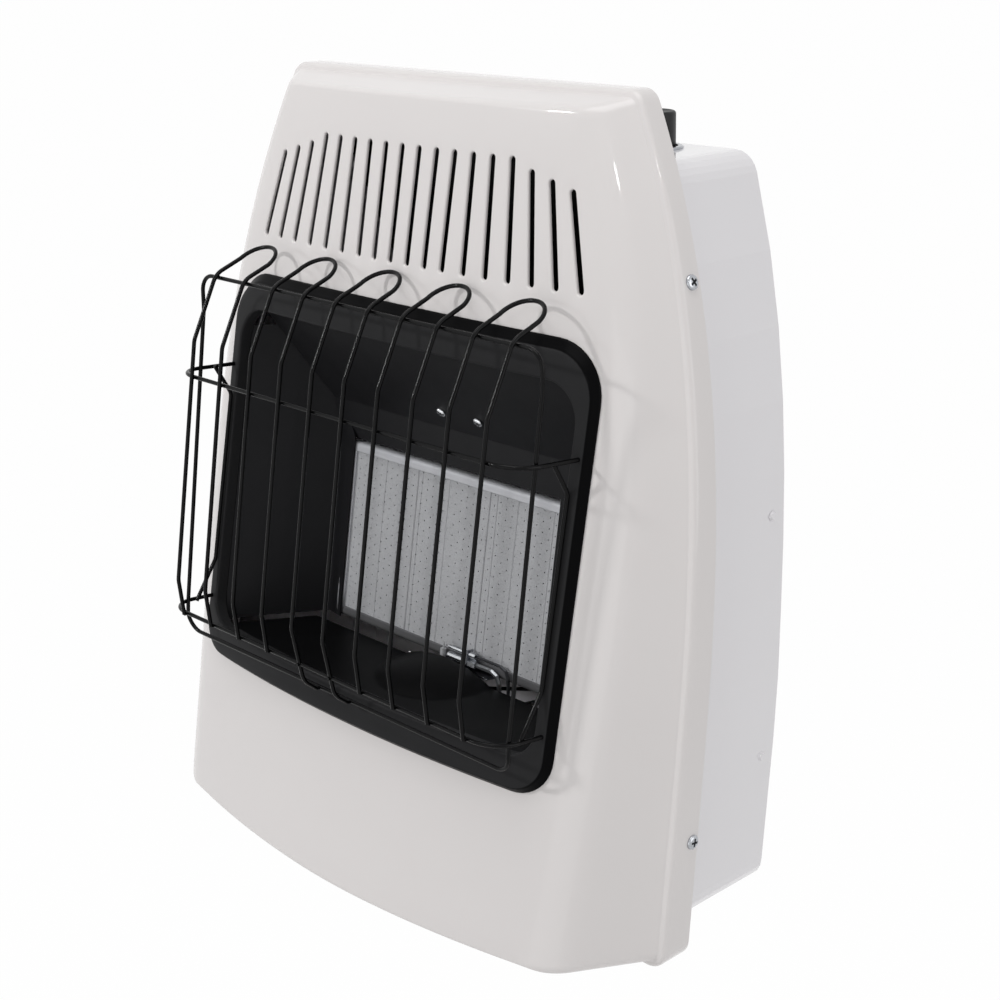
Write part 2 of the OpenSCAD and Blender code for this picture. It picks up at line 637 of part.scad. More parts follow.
// Brackets that stand the burner off the heat shield
bracket_up = 12;
bracket_z = [-92, 0];
bracket_x = 84;
module burner_brackets() {
    d = plaque_t + lay + plenum_t + lay;
    function rear(z) = -plaque_depth + d / cos(burner_lean) + z * tan(burner_lean);
    y0 = -shield_y - lay;
    color(zinc) for (s = [-1, 1], z = bracket_z) translate([s * bracket_x - 8, 0, 0])
        rotate([90, 0, 90]) linear_extrude(16) polygon([[y0, z], [y0, z + bracket_up],
            [y0 - 1.5, z + bracket_up], [y0 - 1.5, z + 1.5], [rear(z) + 1.8, z + 1.5],
            [rear(z + bracket_up) + 1.5, z + bracket_up], [rear(z + bracket_up), z + bracket_up],
            [rear(z), z]]);
}

// ---- pilot ---------------------------------------------------------------

// Pilot, electrode and thermocouple stand just in front of the burner's lower edge
pilot_y = -5.2;
pilot_v = burner_foot + 1.4;
probe_v = pilot_v + 5.8;
tab_x = 36;
pilot_r = 2.6;
probe_r = 1.9;
shelf_v = burner_foot - lay - frame_wall - lay;

module pilot_bracket() {
    color(zinc) on_burner() difference() {
        union() {
            translate([4, -7.6, shelf_v - 1.2]) cube([54, 32, 1.2]);
            translate([tab_x, -7.6, shelf_v - 1.2]) cube([1.2, 5.8, probe_v - shelf_v + 4.4]);
        }
        translate([tab_x - 1, pilot_y + 0.6, pilot_v]) rotate([0, 90, 0]) cylinder(r = pilot_r + 0.1, h = 4);
        translate([tab_x - 1, pilot_y + 0.6, probe_v]) rotate([0, 90, 0]) cylinder(r = probe_r + 0.1, h = 4);
        translate([11, pilot_y, shelf_v - 3]) cylinder(r = 2.2, h = 5);
    }
}

module pilot_burner() {
    color(zinc) on_burner() translate([0, pilot_y + 0.6, pilot_v]) rotate([0, 90, 0]) difference() {
        union() {
            translate([0, 0, 17]) cylinder(r = pilot_r, h = 26);
            translate([0, 0, 37.5]) cylinder(r = 3.2, h = 7, $fn = 6);
        }
        translate([0, 0, 16]) cylinder(r = 1.4, h = 20);
        translate([0, 0, 40]) cylinder(r = 1.75, h = 8);
    }
}

module thermocouple() {
    color(zinc) on_burner() translate([0, pilot_y + 0.6, probe_v]) rotate([0, 90, 0]) {
        translate([0, 0, 16]) cylinder(r = 1.2, h = 6);
        translate([0, 0, 20]) cylinder(r = probe_r, h = 22);
        translate([0, 0, 37.5]) cylinder(r = 2.4, h = 6);
    }
}

// Ceramic rod with a bent wire tip, standing in the bracket
module spark_electrode() {
    color("#eeeeea") {
        on_burner() translate([11, pilot_y, shelf_v - 6]) cylinder(r = 2.1, h = 14);
        on_burner() translate([11, pilot_y, shelf_v + 7.5]) cylinder(r = 0.6, h = 5);
    }
}

// Point on the pilot parts' lines, where their tubes start
pilot_out = at_burner(42, pilot_y + 0.6, pilot_v);
probe_out = at_burner(43.8, pilot_y + 0.6, probe_v);
spark_out = at_burner(11, pilot_y, shelf_v - 6.3);

module pilot_tube() {
    color("#9aa0a4") sweep(run([pilot_out, [66, pilot_out[1], pilot_out[2]], [66, pilot_out[1], -128],
        [80, -30, -132], [port_pilot[0], port_pilot[1], -100], port_pilot + [0, 0, -lay]], 7, 2),
        1.7, 6, up = [0, 1, 0]);
}
module thermocouple_lead() {
    color(brass) sweep(run([probe_out, [74, probe_out[1], probe_out[2]], [74, probe_out[1], -136],
        [104, -14, -140], [port_probe[0], -18, -136], [port_probe[0], port_probe[1], -104],
        port_probe + [0, 0, -lay]], 7, 2), 1.2, 6, up = [0, 1, 0]);
}
module ignition_lead() {
    color(black) sweep(run([spark_out, spark_out + [-1, 1, -16], [20, -50, -148], [60, -14, -148],
        [port_spark[0], port_spark[1], -100], port_spark + [0, 0, -lay]], 7, 2),
        1.5, 6, up = [0, 1, 0]);
}

// ---- controls ------------------------------------------------------------

valve_z = 160;
valve_h = 50;
plug_r = 9;
block_z = valve_z + 8;
gas_z = block_z + 10;
port_pilot = [knob_x - 18, -knob_y, block_z];
port_probe = [knob_x + 20, -knob_y, block_z];
port_spark = [knob_x - 23, -knob_y + 6, block_z];
module at_knob() { translate([knob_x, -knob_y, 0]) children(); }

// Round with one flat, so that what turns it cannot slip
module keyed(r, h) {
    difference() {
        cylinder(r = r, h = h);
        translate([r * 0.75, -r - 1, -1]) cube([r, 2 * r + 2, h + 2]);
    }
}

module gas_valve() {
    color(brass) at_knob() difference() {
        union() {
            translate([0, 0, valve_z]) cylinder(r = 14, h = valve_h);
            translate([-26, -9, block_z]) cube([52, 18, 20]);
        }
        translate([0, 0, valve_z + 12]) cylinder(r = plug_r + 0.05, h = valve_h);
        translate([0, 0, valve_z - 1]) cylinder(r = 4.05, h = 7);
        translate([20, 0, gas_z]) rotate([0, 90, 0]) cylinder(r = 5.05, h = 10);
    }
}

module valve_plug() {
    color(zinc) at_knob() difference() {
        translate([0, 0, valve_z + 12]) cylinder(r = plug_r, h = valve_h - 12);
        translate([0, 0, valve_z + 20]) keyed(spindle_r + spindle_play, valve_h);
    }
}

knob_top = case_top + 23;
module control_knob() {
    foot = valve_z + 20 + knob_push + 2;
    color(black) at_knob() union() {
        rotate_extrude() polygon([[0, knob_top - knob_h], [knob_r, knob_top - knob_h],
            [knob_r - 0.5, knob_top - 1.5], [knob_r - 2, knob_top], [0, knob_top]]);
        translate([0, 0, foot]) keyed(spindle_r, knob_top - knob_h + 1 - foot);
    }
}

module knob_ring() {
    color(zinc) at_knob() translate([0, 0, case_top]) rotate_extrude() polygon([[knob_r + 1.5, 0],
        [ring_r, 0], [ring_r, 0.8], [ring_r - 1, 1.6], [knob_r + 1.5, 1.6]]);
}

module valve_bracket() {
    color(zinc) at_knob() difference() {
        union() {
            translate([-14, -14, valve_z - 1.5]) cube([28, knob_y + 12.5, 1.5]);
            translate([-14, knob_y - 3, valve_z - 30]) cube([28, 1.5, 30]);
        }
        translate([0, 0, valve_z - 10]) cylinder(r = 6, h = 20);
    }
}

// ---- gas line ------------------------------------------------------------

reg_z = -205;
module at_inlet() { translate([inlet_x, -inlet_y, 0]) children(); }

module regulator() {
    color("#8f9396") at_inlet() difference() {
        union() {
            translate([0, 0, reg_z + 12]) cylinder(r = 17, h = 20);
            translate([0, 0, reg_z + 30]) cylinder(r = 8, h = 10);
            translate([-13, -13, reg_z]) cube([26, 26, 13]);
        }
        translate([0, 0, reg_z - 1]) cylinder(r = 9.05, h = 8);
        translate([0, 0, reg_z + 34]) cylinder(r = 5.05, h = 10);
    }
}

inlet_mouth = -264;
module inlet_fitting() {
    color(brass) at_inlet() difference() {
        union() {
            translate([0, 0, inlet_mouth]) cylinder(r = 13.5, h = 20, $fn = 6);
            translate([0, 0, inlet_mouth + 20]) cylinder(r = 9, h = reg_z + 6.8 - inlet_mouth - 20);
        }
        translate([0, 0, inlet_mouth - 1]) cylinder(r = inlet_r, h = 15);
        translate([0, 0, inlet_mouth + 10]) cylinder(r = 5, h = 80);
    }
}

module inlet_pipe() {
    color("#9aa0a4") sweep(run([[inlet_x, -inlet_y, reg_z + 34.2], [inlet_x, -inlet_y, -130],
        [case_x - 35.5, -knob_y, -100], [case_x - 35.5, -knob_y, gas_z], [knob_x + 20.3, -knob_y, gas_z]], 9),
        5, up = [0, 1, 0]);
}

module burner_pipe() {
    jet = at_burner(field / 2 + jet_hex + 4.3, mixer_in, mixer_up);
    color("#9aa0a4") sweep(run([[knob_x, -knob_y, valve_z + 5.7], [knob_x, -knob_y, 134],
        [case_x - 17.5, -62, 108], [case_x - 15.5, jet[1], 60], [case_x - 15.5, jet[1], jet[2]], jet], 8), 4, up = [0, 1, 0]);
}

// ---- rear case -----------------------------------------------------------

// Half space in front of the case's front edge, which leans with the panel's flange
module front_of_case(gap) {
    translate([0, flange_y(0) + gap, 0]) rotate([-atan(0.083), 0, 0])
        translate([-300, -200, -400]) cube([600, 200, 800]);
}

pan_depth = 24;
function case_tilt(z) = atan(3 * case_shoulder * pow(max(0, (z + 80) / 320), 2) / 320
    - (z < -112 ? 0.06 : 0));
module at_case_screws() {
    for (s = [-1, 1], z = [-150, 20]) translate([s * case_w(z), -pan_depth / 2, z])
        rotate([0, s * (90 - case_tilt(z)), 0]) children();
}

module rear_case() {
    color(case_grey) difference() {
        wall_prism(closed_half(case_half(0)), 0, 140);
        wall_prism(closed_half(case_half(sheet)), 1, 150);
        front_of_case(lay);
        at_knob() translate([0, 0, case_top - 10]) cylinder(r = knob_r + 1.5, h = 20);
        at_inlet() translate([0, 0, -case_bottom - 5]) cylinder(r = 15, h = 10);
        at_case_screws() cylinder(r = 1.8, h = 10, center = true);
    }
}

// Pan with a low rim inside the case, and four holes for the wall screws
module back_plate() {
    color(case_grey) difference() {
        wall_prism(closed_half(case_half(sheet + lay)), 0, pan_depth);
        wall_prism(closed_half(case_half(2 * sheet + lay)), -1.5, pan_depth);
        for (x = [-1, 1], z = [-1, 1]) translate([x * fix_x / 2, 1, z * fix_z / 2])
            rotate([90, 0, 0]) cylinder(r = fix_r, h = 4);
        at_knob() translate([0, 0, case_top - 20]) cylinder(r = knob_r + 1.5, h = 30);
        at_case_screws() cylinder(r = 1.6, h = 10, center = true);
    }
}

// Frame between the case's front edge and the panel's flange, with tabs for the panel's screws
module chassis_frame() {
    color(case_grey) difference() {
        union() {
            difference() {
                wall_prism(closed_half(panel_half(sheet + lay)), -60, 90);
                wall_prism(closed_half(case_half(sheet)), 0, 200);
                front_of_case(lay - sheet);
                difference() {
                    translate([-300, -200, -400]) cube([600, 200, 800]);
                    front_of_case(lay);
                }
            }
            at_panel_fix() translate([-9, -6, -sheet - 2 * lay - 1.5]) cube([18, 15, 1.5]);
        }
        at_panel_fix() cylinder(r = 2.2, h = 20, center = true);
    }
}

module case_screws() {
    color(zinc) at_case_screws() screw(3.5, 1.5, 6);
}

front_panel();
panel_screws();
window_bezel();
wire_guard();
left_cheek();
right_cheek();
heat_hood();
hood_screws();
firebox_floor();
top_baffle();
heat_shield();
burner_frame();
plaque_left();
plaque_centre();
plaque_right();
burner_plenum();
mixer_tube();
injector();
injector_bracket();
burner_pipe();
pilot_bracket();
pilot_burner();
pilot_tube();
spark_electrode();
ignition_lead();
thermocouple();
thermocouple_lead();
gas_valve();
valve_bracket();
valve_plug();
control_knob();
knob_ring();
regulator();
inlet_pipe();
inlet_fitting();
rear_case();
back_plate();
chassis_frame();
case_screws();
burner_brackets();
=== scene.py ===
import json
import math

import bmesh
import bpy
import numpy as np
from mathutils import Matrix, Vector, geometry


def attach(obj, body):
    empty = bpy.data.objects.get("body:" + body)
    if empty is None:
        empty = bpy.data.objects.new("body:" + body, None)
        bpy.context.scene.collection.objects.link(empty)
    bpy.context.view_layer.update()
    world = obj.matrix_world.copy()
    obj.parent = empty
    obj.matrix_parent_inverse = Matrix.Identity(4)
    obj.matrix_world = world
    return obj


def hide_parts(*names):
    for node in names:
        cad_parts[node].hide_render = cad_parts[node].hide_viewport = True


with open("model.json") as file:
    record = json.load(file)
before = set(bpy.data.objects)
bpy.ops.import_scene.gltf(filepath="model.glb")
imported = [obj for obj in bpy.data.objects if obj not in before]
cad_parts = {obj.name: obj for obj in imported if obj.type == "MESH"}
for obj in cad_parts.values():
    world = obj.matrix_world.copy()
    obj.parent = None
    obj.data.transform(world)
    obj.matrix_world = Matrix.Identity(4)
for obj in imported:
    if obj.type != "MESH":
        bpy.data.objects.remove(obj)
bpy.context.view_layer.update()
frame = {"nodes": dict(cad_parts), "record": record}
nodes = frame["nodes"]
mm = 0.001


# shader maths and finishes

def tone(*levels):  # red, green and blue out of 255
    shares = [level / 255 for level in levels]
    linear = [c / 12.92 if c <= 0.04045 else ((c + 0.055) / 1.055) ** 2.4 for c in shares]
    return (*linear, 1.0)


class Wire:  # one shader socket that takes part in sums
    def __init__(self, layout, socket):
        self.layout = layout
        self.socket = socket

    def sum(self, operation, first, second):
        return self.layout.node("ShaderNodeMath", {"operation": operation}, {0: first, 1: second})

    def __add__(self, other):
        return self.sum("ADD", self, other)

    def __sub__(self, other):
        return self.sum("SUBTRACT", self, other)

    def __mul__(self, other):
        return self.sum("MULTIPLY", self, other)

    def __rsub__(self, other):
        return self.sum("SUBTRACT", other, self)

    __radd__ = __add__
    __rmul__ = __mul__


class Layout:  # the nodes of a material or of the world while they are laid out
    def __init__(self, owner):
        owner.use_nodes = True
        self.tree = owner.node_tree
        self.tree.nodes.clear()

    def node(self, kind, settings, values, output=0):
        node = self.tree.nodes.new(kind)
        for key, value in settings.items():
            if key == "stops":
                ramp = node.color_ramp.elements
                for index, (position, color) in enumerate(value):
                    stop = ramp[index] if index < 2 else ramp.new(position)
                    stop.position = position
                    stop.color = color
            else:
                setattr(node, key, value)
        for key, value in values.items():
            if isinstance(value, Wire):
                self.tree.links.new(value.socket, node.inputs[key])
            else:
                node.inputs[key].default_value = value
        return Wire(self, node.outputs[output])

    def end(self, kind, shader):
        output = self.tree.nodes.new(kind)
        self.tree.links.new(shader.socket, output.inputs["Surface"])


class Finish(Layout):
    def __init__(self, name):
        self.material = bpy.data.materials.new(name)
        super().__init__(self.material)
        self.place = self.node("ShaderNodeTexCoord", {}, {}, "Object")

    def noise(self, scale, detail, place=None):
        return self.node("ShaderNodeTexNoise", {}, {
            "Vector": place or self.place, "Scale": scale, "Detail": detail}, "Fac")

    def stretched(self, x, y, z):
        return self.node("ShaderNodeMapping", {}, {"Vector": self.place, "Scale": (x, y, z)})

    def mark(self, name):  # a value that is kept with the points
        return self.node("ShaderNodeAttribute", {"attribute_name": name}, {}, "Fac")

    def blend(self, factor, first, second):
        return self.node("ShaderNodeMix", {"data_type": "RGBA"},
                         {0: factor, 6: first, 7: second}, 2)

    def bump(self, height, strength, distance):
        return self.node("ShaderNodeBump", {}, {
            "Height": height, "Strength": strength, "Distance": distance})

    def close(self, **sockets):
        names = {"color": "Base Color", "metal": "Metallic", "rough": "Roughness",
                 "coat": "Coat Weight", "coatRough": "Coat Roughness", "coatIor": "Coat IOR",
                 "specular": "Specular IOR Level", "normal": "Normal"}
        values = {names[k]: v for k, v in sockets.items()}
        self.end("ShaderNodeOutputMaterial", self.node("ShaderNodeBsdfPrincipled", {}, values))
        return self.material


def makePaint(name, light, shade, over=None, cloud=(25, 3), wear=(50, 4), rough=(0.3, 0.08),
              grain=(700, 2), relief=(0.12, 0.00005), **fixed):
    f = Finish(name)
    color = f.blend(f.noise(*cloud), light, shade)
    if over:  # a mark and the tone that it brings
        color = f.blend(f.mark(over[0]), color, over[1])
    return f.close(color=color, rough=rough[0] + f.noise(*wear) * rough[1],
                   normal=f.bump(f.noise(*grain), *relief), **fixed)


def makeMetal(name, light, shade, rough, grain, stretch):
    f = Finish(name)
    lines = f.noise(grain, 3, f.stretched(*stretch))
    return f.close(color=f.blend(lines, light, shade), metal=1.0,
                   rough=rough + lines * 0.14 - 0.04, normal=f.bump(lines, 0.25, 0.00004))


def makeScrewMetal(name, light, shade):  # painted shade: greyer and less metallic down in the cross recess
    f = Finish(name)
    recess = f.mark("recess")
    color = f.blend(recess, f.blend(f.noise(600, 3), light, shade), tone(78, 79, 82))
    return f.close(color=color, metal=1.0 - recess * 0.8, rough=0.18 + f.noise(400, 3) * 0.12,
                   normal=f.bump(f.noise(900, 2), 0.2, 0.00004))


def makeFrameGrey():  # painted shade and painted reflection along its foot: darker towards the bottom
    f = Finish("burnerFrameGrey")
    lines = f.noise(220, 3, f.stretched(0.25, 1, 9))
    height = f.node("ShaderNodeSeparateXYZ", {}, {"Vector": f.place}, 2)
    footShade = f.node("ShaderNodeMapRange", {}, {"Value": height, "From Min": -0.1,
                                             "From Max": -0.085, "To Min": 1.0, "To Max": 0.0})
    color = f.blend(lines, tone(214, 215, 219), tone(196, 197, 202))
    return f.close(color=f.blend(footShade, color, tone(98, 98, 100)), metal=0.3,
                   rough=0.5 + lines * 0.12, specular=0.2, normal=f.bump(lines, 0.25, 0.00004))


def makeCeramic():
    f = Finish("ceramicPlaque")
    speck = f.noise(1500, 2)
    color = f.blend(f.noise(42, 4), tone(199, 200, 203), tone(184, 185, 188))
    stops = [(0.55, (0, 0, 0, 1)), (0.72, (1, 1, 1, 1))]
    specks = f.node("ShaderNodeValToRGB", {"stops": stops}, {"Fac": speck})
    color = f.blend(specks, color, tone(150, 151, 154))
    return f.close(color=color, rough=0.85 + speck * 0.1, specular=0.2,
                   normal=f.bump(f.noise(900, 3), 0.5, 0.0001))


finishes = {
    "enamel": makePaint("enamelWhite", tone(229, 225, 224), tone(225, 221, 220), cloud=(9, 3),
                        wear=(34, 4), rough=(0.25, 0.02), grain=(420, 2), relief=(0.1, 0.00003),
                        specular=0.12, coat=0.55, coatRough=0.045),
    "case_paint": makePaint("caseGrey", tone(229, 227, 230), tone(226, 224, 227), cloud=(12, 3),
                            wear=(60, 3), rough=(0.3, 0.1), grain=(900, 2), coat=1.0,
                            coatRough=0.02, coatIor=1.8),
    "black_enamel": makePaint("enamelBlack", tone(14, 14, 15), tone(19, 19, 20), specular=0.16),
    # bezelBlack paints the rings marked deep near black: painted shade for the dark that its bevel
    # reflects
    "bezel": makePaint("bezelBlack", tone(42, 42, 43), tone(48, 48, 49),
                       over=("deep", tone(7, 7, 8)), specular=0.03),  # painted shade on its bevel
    "firebox": makePaint("fireboxBlack", tone(31, 31, 33), tone(26, 26, 28), rough=(0.36, 0.1),
                         specular=0.12),
    # the firebox black painted darker for the floor: painted shade under the hood
    "floor": makePaint("floorShadedBlack", tone(12, 12, 13), tone(8, 8, 9), rough=(0.36, 0.1),
                       specular=0.07),
    "guard": makePaint("wireBlack", tone(4, 4, 5), tone(8, 8, 9), cloud=(140, 3), wear=(300, 4),
                       rough=(0.14, 0.12), grain=(520, 3), relief=(0.35, 0.00012), specular=0.12),
    "knob_black": makePaint("knobBlack", tone(20, 20, 21), tone(28, 28, 29), cloud=(300, 3),
                            wear=(400, 2), rough=(0.4, 0.12), grain=(2200, 2),
                            relief=(0.25, 0.00006), specular=0.22),
    "lead_black": makePaint("leadBlack", tone(36, 36, 37), tone(28, 28, 29), cloud=(60, 4),
                            wear=(200, 3), rough=(0.6, 0.2), grain=(800, 2),
                            relief=(0.2, 0.00005)),
    "burner_frame": makeFrameGrey(),
    "ceramic": makeCeramic(),
    "screw_zinc": makeScrewMetal("screwZinc", tone(190, 192, 196), tone(150, 153, 158)),
    "screw_bright": makeScrewMetal("screwBright", tone(236, 238, 240), tone(210, 212, 216)),
    "zinc_steel": makeMetal("zincSteel", tone(176, 178, 183), tone(140, 143, 149), 0.2, 600,
                            (1, 1, 1)),
    "bright_steel": makeMetal("brightSteel", tone(206, 208, 211), tone(172, 175, 180), 0.2, 500,
                              (1, 1, 4)),
    "aluminised": makeMetal("aluminised", tone(196, 197, 201), tone(168, 169, 174), 0.36, 220,
                            (0.25, 1, 9)),
    "brass": makeMetal("brass", tone(214, 178, 104), tone(188, 150, 80), 0.24, 400, (1, 1, 3)),
    "tube_steel": makeMetal("drawnTube", tone(186, 189, 192), tone(160, 163, 167), 0.3, 350,
                            (1, 1, 0.2)),
    "dull_steel": makeMetal("dullSteel", tone(88, 89, 92), tone(66, 67, 70), 0.45, 350,
                            (1, 1, 0.2)),
}
ownFinish = {"case_screws": "case_paint",  # painted over with the case
             "thermocouple_lead": "dull_steel"}
for entry in frame["record"]["subparts"]:
    slots = nodes[entry["node"]].data.materials
    slots.clear()
    slots.append(finishes[ownFinish.get(entry["node"], entry["material_slot"])])
print("finishes", len(finishes))


# the front's own shape, in millimetres, as in the part's source

front = dict(width=476.4, top=289.5, bottom=243.0, depth=174.4, lean=math.radians(10.3),
             radius=1155.0, sheet=1.2, corner=13.0, step=4.0,
             shoulder=73.0, shoulderStart=150.0, shoulderRun=430.0,
             valley=-95.0, valleyFall=0.1, flange=-79.0, flangeFall=0.083, fallFrom=270.0,
             splay=math.radians(43), splayLow=math.radians(6), splayRun=240.0,
             edgeTop=10.5, edgeBottom=1.0, roundLow=20.0, roundHigh=10.0, cornerLow=6.5,
             cornerHigh=10.0, innerLow=4.0, innerHigh=3.0,
             bow=7.0, bowTop=60.0, bowRun=300.0, bowHalf=180.0, ledge=0.5, cell=6.5)
leanCos, leanSin, leanTan = (f(front["lean"]) for f in (math.cos, math.sin, math.tan))


def sag(x):
    return front["radius"] - math.sqrt(front["radius"] ** 2 - x * x)


def bow(x, z):  # the face is fuller towards its foot
    low = max(0, front["bowTop"] - z) / front["bowRun"]
    return front["bow"] * low ** 2 * max(0, 1 - (x / front["bowHalf"]) ** 2)


def faceY(x, z):
    return -front["depth"] + z * leanTan + sag(x) / leanCos - bow(x, z)


def onFace(u, v, h):  # u across, v up the slope, h proud of the sheet
    y = sag(u) - h
    z = -y * leanSin + v * leanCos
    return (u, -front["depth"] + y * leanCos + v * leanSin - bow(u, z), z)


def shoulderShare(z):
    return max(0, (z + front["shoulderStart"]) / front["shoulderRun"])


def halfWidth(z):
    return front["width"] / 2 - front["shoulder"] * shoulderShare(z) ** 3


def sideTilt(z):
    return math.atan(3 * front["shoulder"] * shoulderShare(z) ** 2 / front["shoulderRun"])


def valleyY(z):  # foot of the walls, where they rise from the step
    return front["valley"] - (front["fallFrom"] - z) * front["valleyFall"]


def flangeY(z):
    return front["flange"] - (front["fallFrom"] - z) * front["flangeFall"]


def arc(centre, r, start, end, steps):
    return [(centre[0] + r * math.cos(start + (end - start) * i / steps),
             centre[1] + r * math.sin(start + (end - start) * i / steps)) for i in range(steps + 1)]


def cornerX(z):  # half width of the face where a splayed side wall meets it
    w = halfWidth(z) - front["step"]
    low = min(1, max(0, -z / front["splayRun"]))
    slope = math.tan(front["splay"] - front["splayLow"] * low)
    rise = valleyY(z) + front["depth"] - z * leanTan
    near = w - (rise - sag(w - 30) / leanCos) * slope
    return w - (rise - sag(near) / leanCos) * slope


def rim(wide, zb, zt, rb, rt, inset, tilt, flat=16, side=60, round=10):
    def w(z):
        return wide(z) - inset[0] - (inset[1] - inset[0]) * (z - zb) / (zt - zb)

    zs, z0 = zt - rt * (1 - math.sin(tilt)), zb + rb
    headX = w(zs) - rt * math.cos(tilt)
    half = [((w(zb) - rb) * i / flat, zb) for i in range(flat)]
    half += arc((w(zb) - rb, z0), rb, -math.pi / 2, 0, round)
    half += [(w(z), z) for z in (z0 + (zs - z0) * i / side for i in range(1, side))]
    half += arc((headX, zs - rt * math.sin(tilt)), rt, tilt, math.pi / 2, round)
    half += [(headX * i / flat, zt) for i in range(flat - 1, -1, -1)]
    return half + [(-x, z) for x, z in half[-2:0:-1]]


def panelOutline(d, ledge=0):
    zt, r = front["top"] - d, front["corner"] - d
    return rim(halfWidth, -front["bottom"] + d + ledge, zt, r, r, (d, d), sideTilt(zt))


def faceRim(raised, lowered, rb, rt, inset):
    zt = front["top"] - front["edgeTop"] - lowered
    tilt = math.atan((cornerX(zt - 10) - cornerX(zt)) / 10)
    return rim(cornerX, -front["bottom"] + front["edgeBottom"] + raised, zt, rb, rt, inset, tilt)


def roundRect(x, top, bottom, rTop, rBottom, flat=24, side=12, round=10):
    rise = top + bottom - rTop - rBottom
    points = [((x - rBottom) * (2 * i / flat - 1), -bottom) for i in range(flat)]
    points += arc((x - rBottom, -bottom + rBottom), rBottom, -math.pi / 2, 0, round)
    points += [(x, -bottom + rBottom + rise * i / side) for i in range(1, side)]
    points += arc((x - rTop, top - rTop), rTop, 0, math.pi / 2, round)
    points += [((x - rTop) * (1 - 2 * i / flat), top) for i in range(1, flat)]
    points += arc((-x + rTop, top - rTop), rTop, math.pi / 2, math.pi, round)
    points += [(-x, top - rTop - rise * i / side) for i in range(1, side)]
    points += arc((-x + rBottom, -bottom + rBottom), rBottom, math.pi, 1.5 * math.pi, round)
    return points[:-1]


# making pieces

def addObject(name, data):
    item = bpy.data.objects.new(name, data)
    bpy.context.scene.collection.objects.link(item)
    return item


def toMesh(name, points, edges, faces):
    mesh = bpy.data.meshes.new(name)
    mesh.from_pydata([tuple(c * mm for c in p) for p in points], edges, faces)
    return mesh


def smooth(mesh, sharp):
    mesh.shade_smooth()
    mesh.set_sharp_from_angle(angle=math.radians(sharp))


def toPiece(name, points, faces, finish, sharp=38, mend=False):
    mesh = toMesh(name, points, [], faces)
    mesh.materials.append(finish)
    if mend:
        work = bmesh.new()
        work.from_mesh(mesh)
        bmesh.ops.remove_doubles(work, verts=work.verts, dist=1e-6)
        bmesh.ops.recalc_face_normals(work, faces=work.faces)
        work.to_mesh(mesh)
        work.free()
    smooth(mesh, sharp)
    return addObject(name, mesh)


def flatten(piece, sharp):  # modifiers into a plain mesh
    graph = bpy.context.evaluated_depsgraph_get()
    mesh = bpy.data.meshes.new_from_object(piece.evaluated_get(graph))
    piece.modifiers.clear()
    piece.data = mesh
    smooth(mesh, sharp)
    return piece


def thicken(piece, amount, sharp):
    solid = piece.modifiers.new("sheet", "SOLIDIFY")
    solid.thickness = amount * mm
    solid.offset = -1.0
    solid.use_even_offset = True
    return flatten(piece, sharp)


def settle(piece, slot, *replaced, body="heater"):
    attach(piece, body)
    if replaced:
        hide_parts(*replaced)


def ringFaces(rings, count):
    return [(a + i, a + (i + 1) % count, a + count + (i + 1) % count, a + count + i)
            for a in range(0, (rings - 1) * count, count) for i in range(count)]


def gridFaces(rows, columns):
    return [(r * columns + c, r * columns + c + 1, (r + 1) * columns + c + 1, (r + 1) * columns + c)
            for r in range(rows - 1) for c in range(columns - 1)]


def insideLoop(x, z, loop):
    inside = False
    for (x0, z0), (x1, z1) in zip(loop, loop[1:] + loop[:1]):
        if (z0 > z) != (z1 > z) and x < (x1 - x0) * (z - z0) / (z1 - z0) + x0:
            inside = not inside
    return inside


# enamelled front panel

louvre = dict(count=9, pitch=16.15, low=173.3, high=249.1, fan=2.4, throat=2.25, lip=1.3, wall=0.8)
window = dict(x=168.5, top=131.5, bottom=112.0, rTop=28.0, rBottom=23.0)


def between(a, b, parts):  # points on a straight line, without its ends
    return [(a[0] + (b[0] - a[0]) * i / parts, a[1] + (b[1] - a[1]) * i / parts)
            for i in range(1, parts)]


def slotLoop(side, j, radius):
    topX = louvre["pitch"] * (j + 0.5)
    footX = topX + louvre["fan"] * max(0, j - 2)
    topZ = louvre["high"] - (2 + 4.5 * (j - 5) if j > 5 else 0) - 3
    footZ = louvre["low"] + 2.1
    run = math.atan2(topZ - footZ, side * (topX - footX))
    head = arc((side * topX, topZ), radius, run - math.pi / 2, run + math.pi / 2, 8)
    tail = arc((side * footX, footZ), radius, run + math.pi / 2, run + 1.5 * math.pi, 8)
    return head + between(head[-1], tail[0], 12) + tail + between(tail[-1], head[0], 12)


def borderRings(corner, inner):  # flange, rounded step, wall and its rounding
    step = front["step"]
    rings = [[(x, flangeY(z) + (valleyY(z) + step - flangeY(z)) * k / 2, z)
              for x, z in panelOutline(0)] for k in range(3)]
    for k in range(1, 6):
        a = math.radians(18 * k)
        inset = step * (1 - math.cos(a)) + (0.35 if k == 5 else 0)
        rings.append([(x, valleyY(z) + step * (1 - math.sin(a)), z)
                      for x, z in panelOutline(inset)])
    walls = []
    valley = panelOutline(step + 0.5, front["ledge"])
    for (vx, vz), (cx, cz), (fx, fz) in zip(valley, corner, inner):
        v = Vector((vx, valleyY(vz), vz))
        c, f = Vector((cx, faceY(cx, cz), cz)), Vector((fx, faceY(fx, fz), fz))
        walls.append((v, c + (v - c) * min(0.5, (c - f).length / (v - c).length), c, f))
    rings.append([tuple(v + (c - v).normalized() * 0.6) for v, foot, c, f in walls])
    for t in (0.25, 0.5, 0.75):
        rings.append([tuple(v.lerp(foot, t)) for v, foot, c, f in walls])
    for t in (k / 10 for k in range(11)):
        rings.append([tuple(foot * (1 - t) ** 2 + c * 2 * t * (1 - t) + f * t * t)
                      for v, foot, c, f in walls])
    return rings


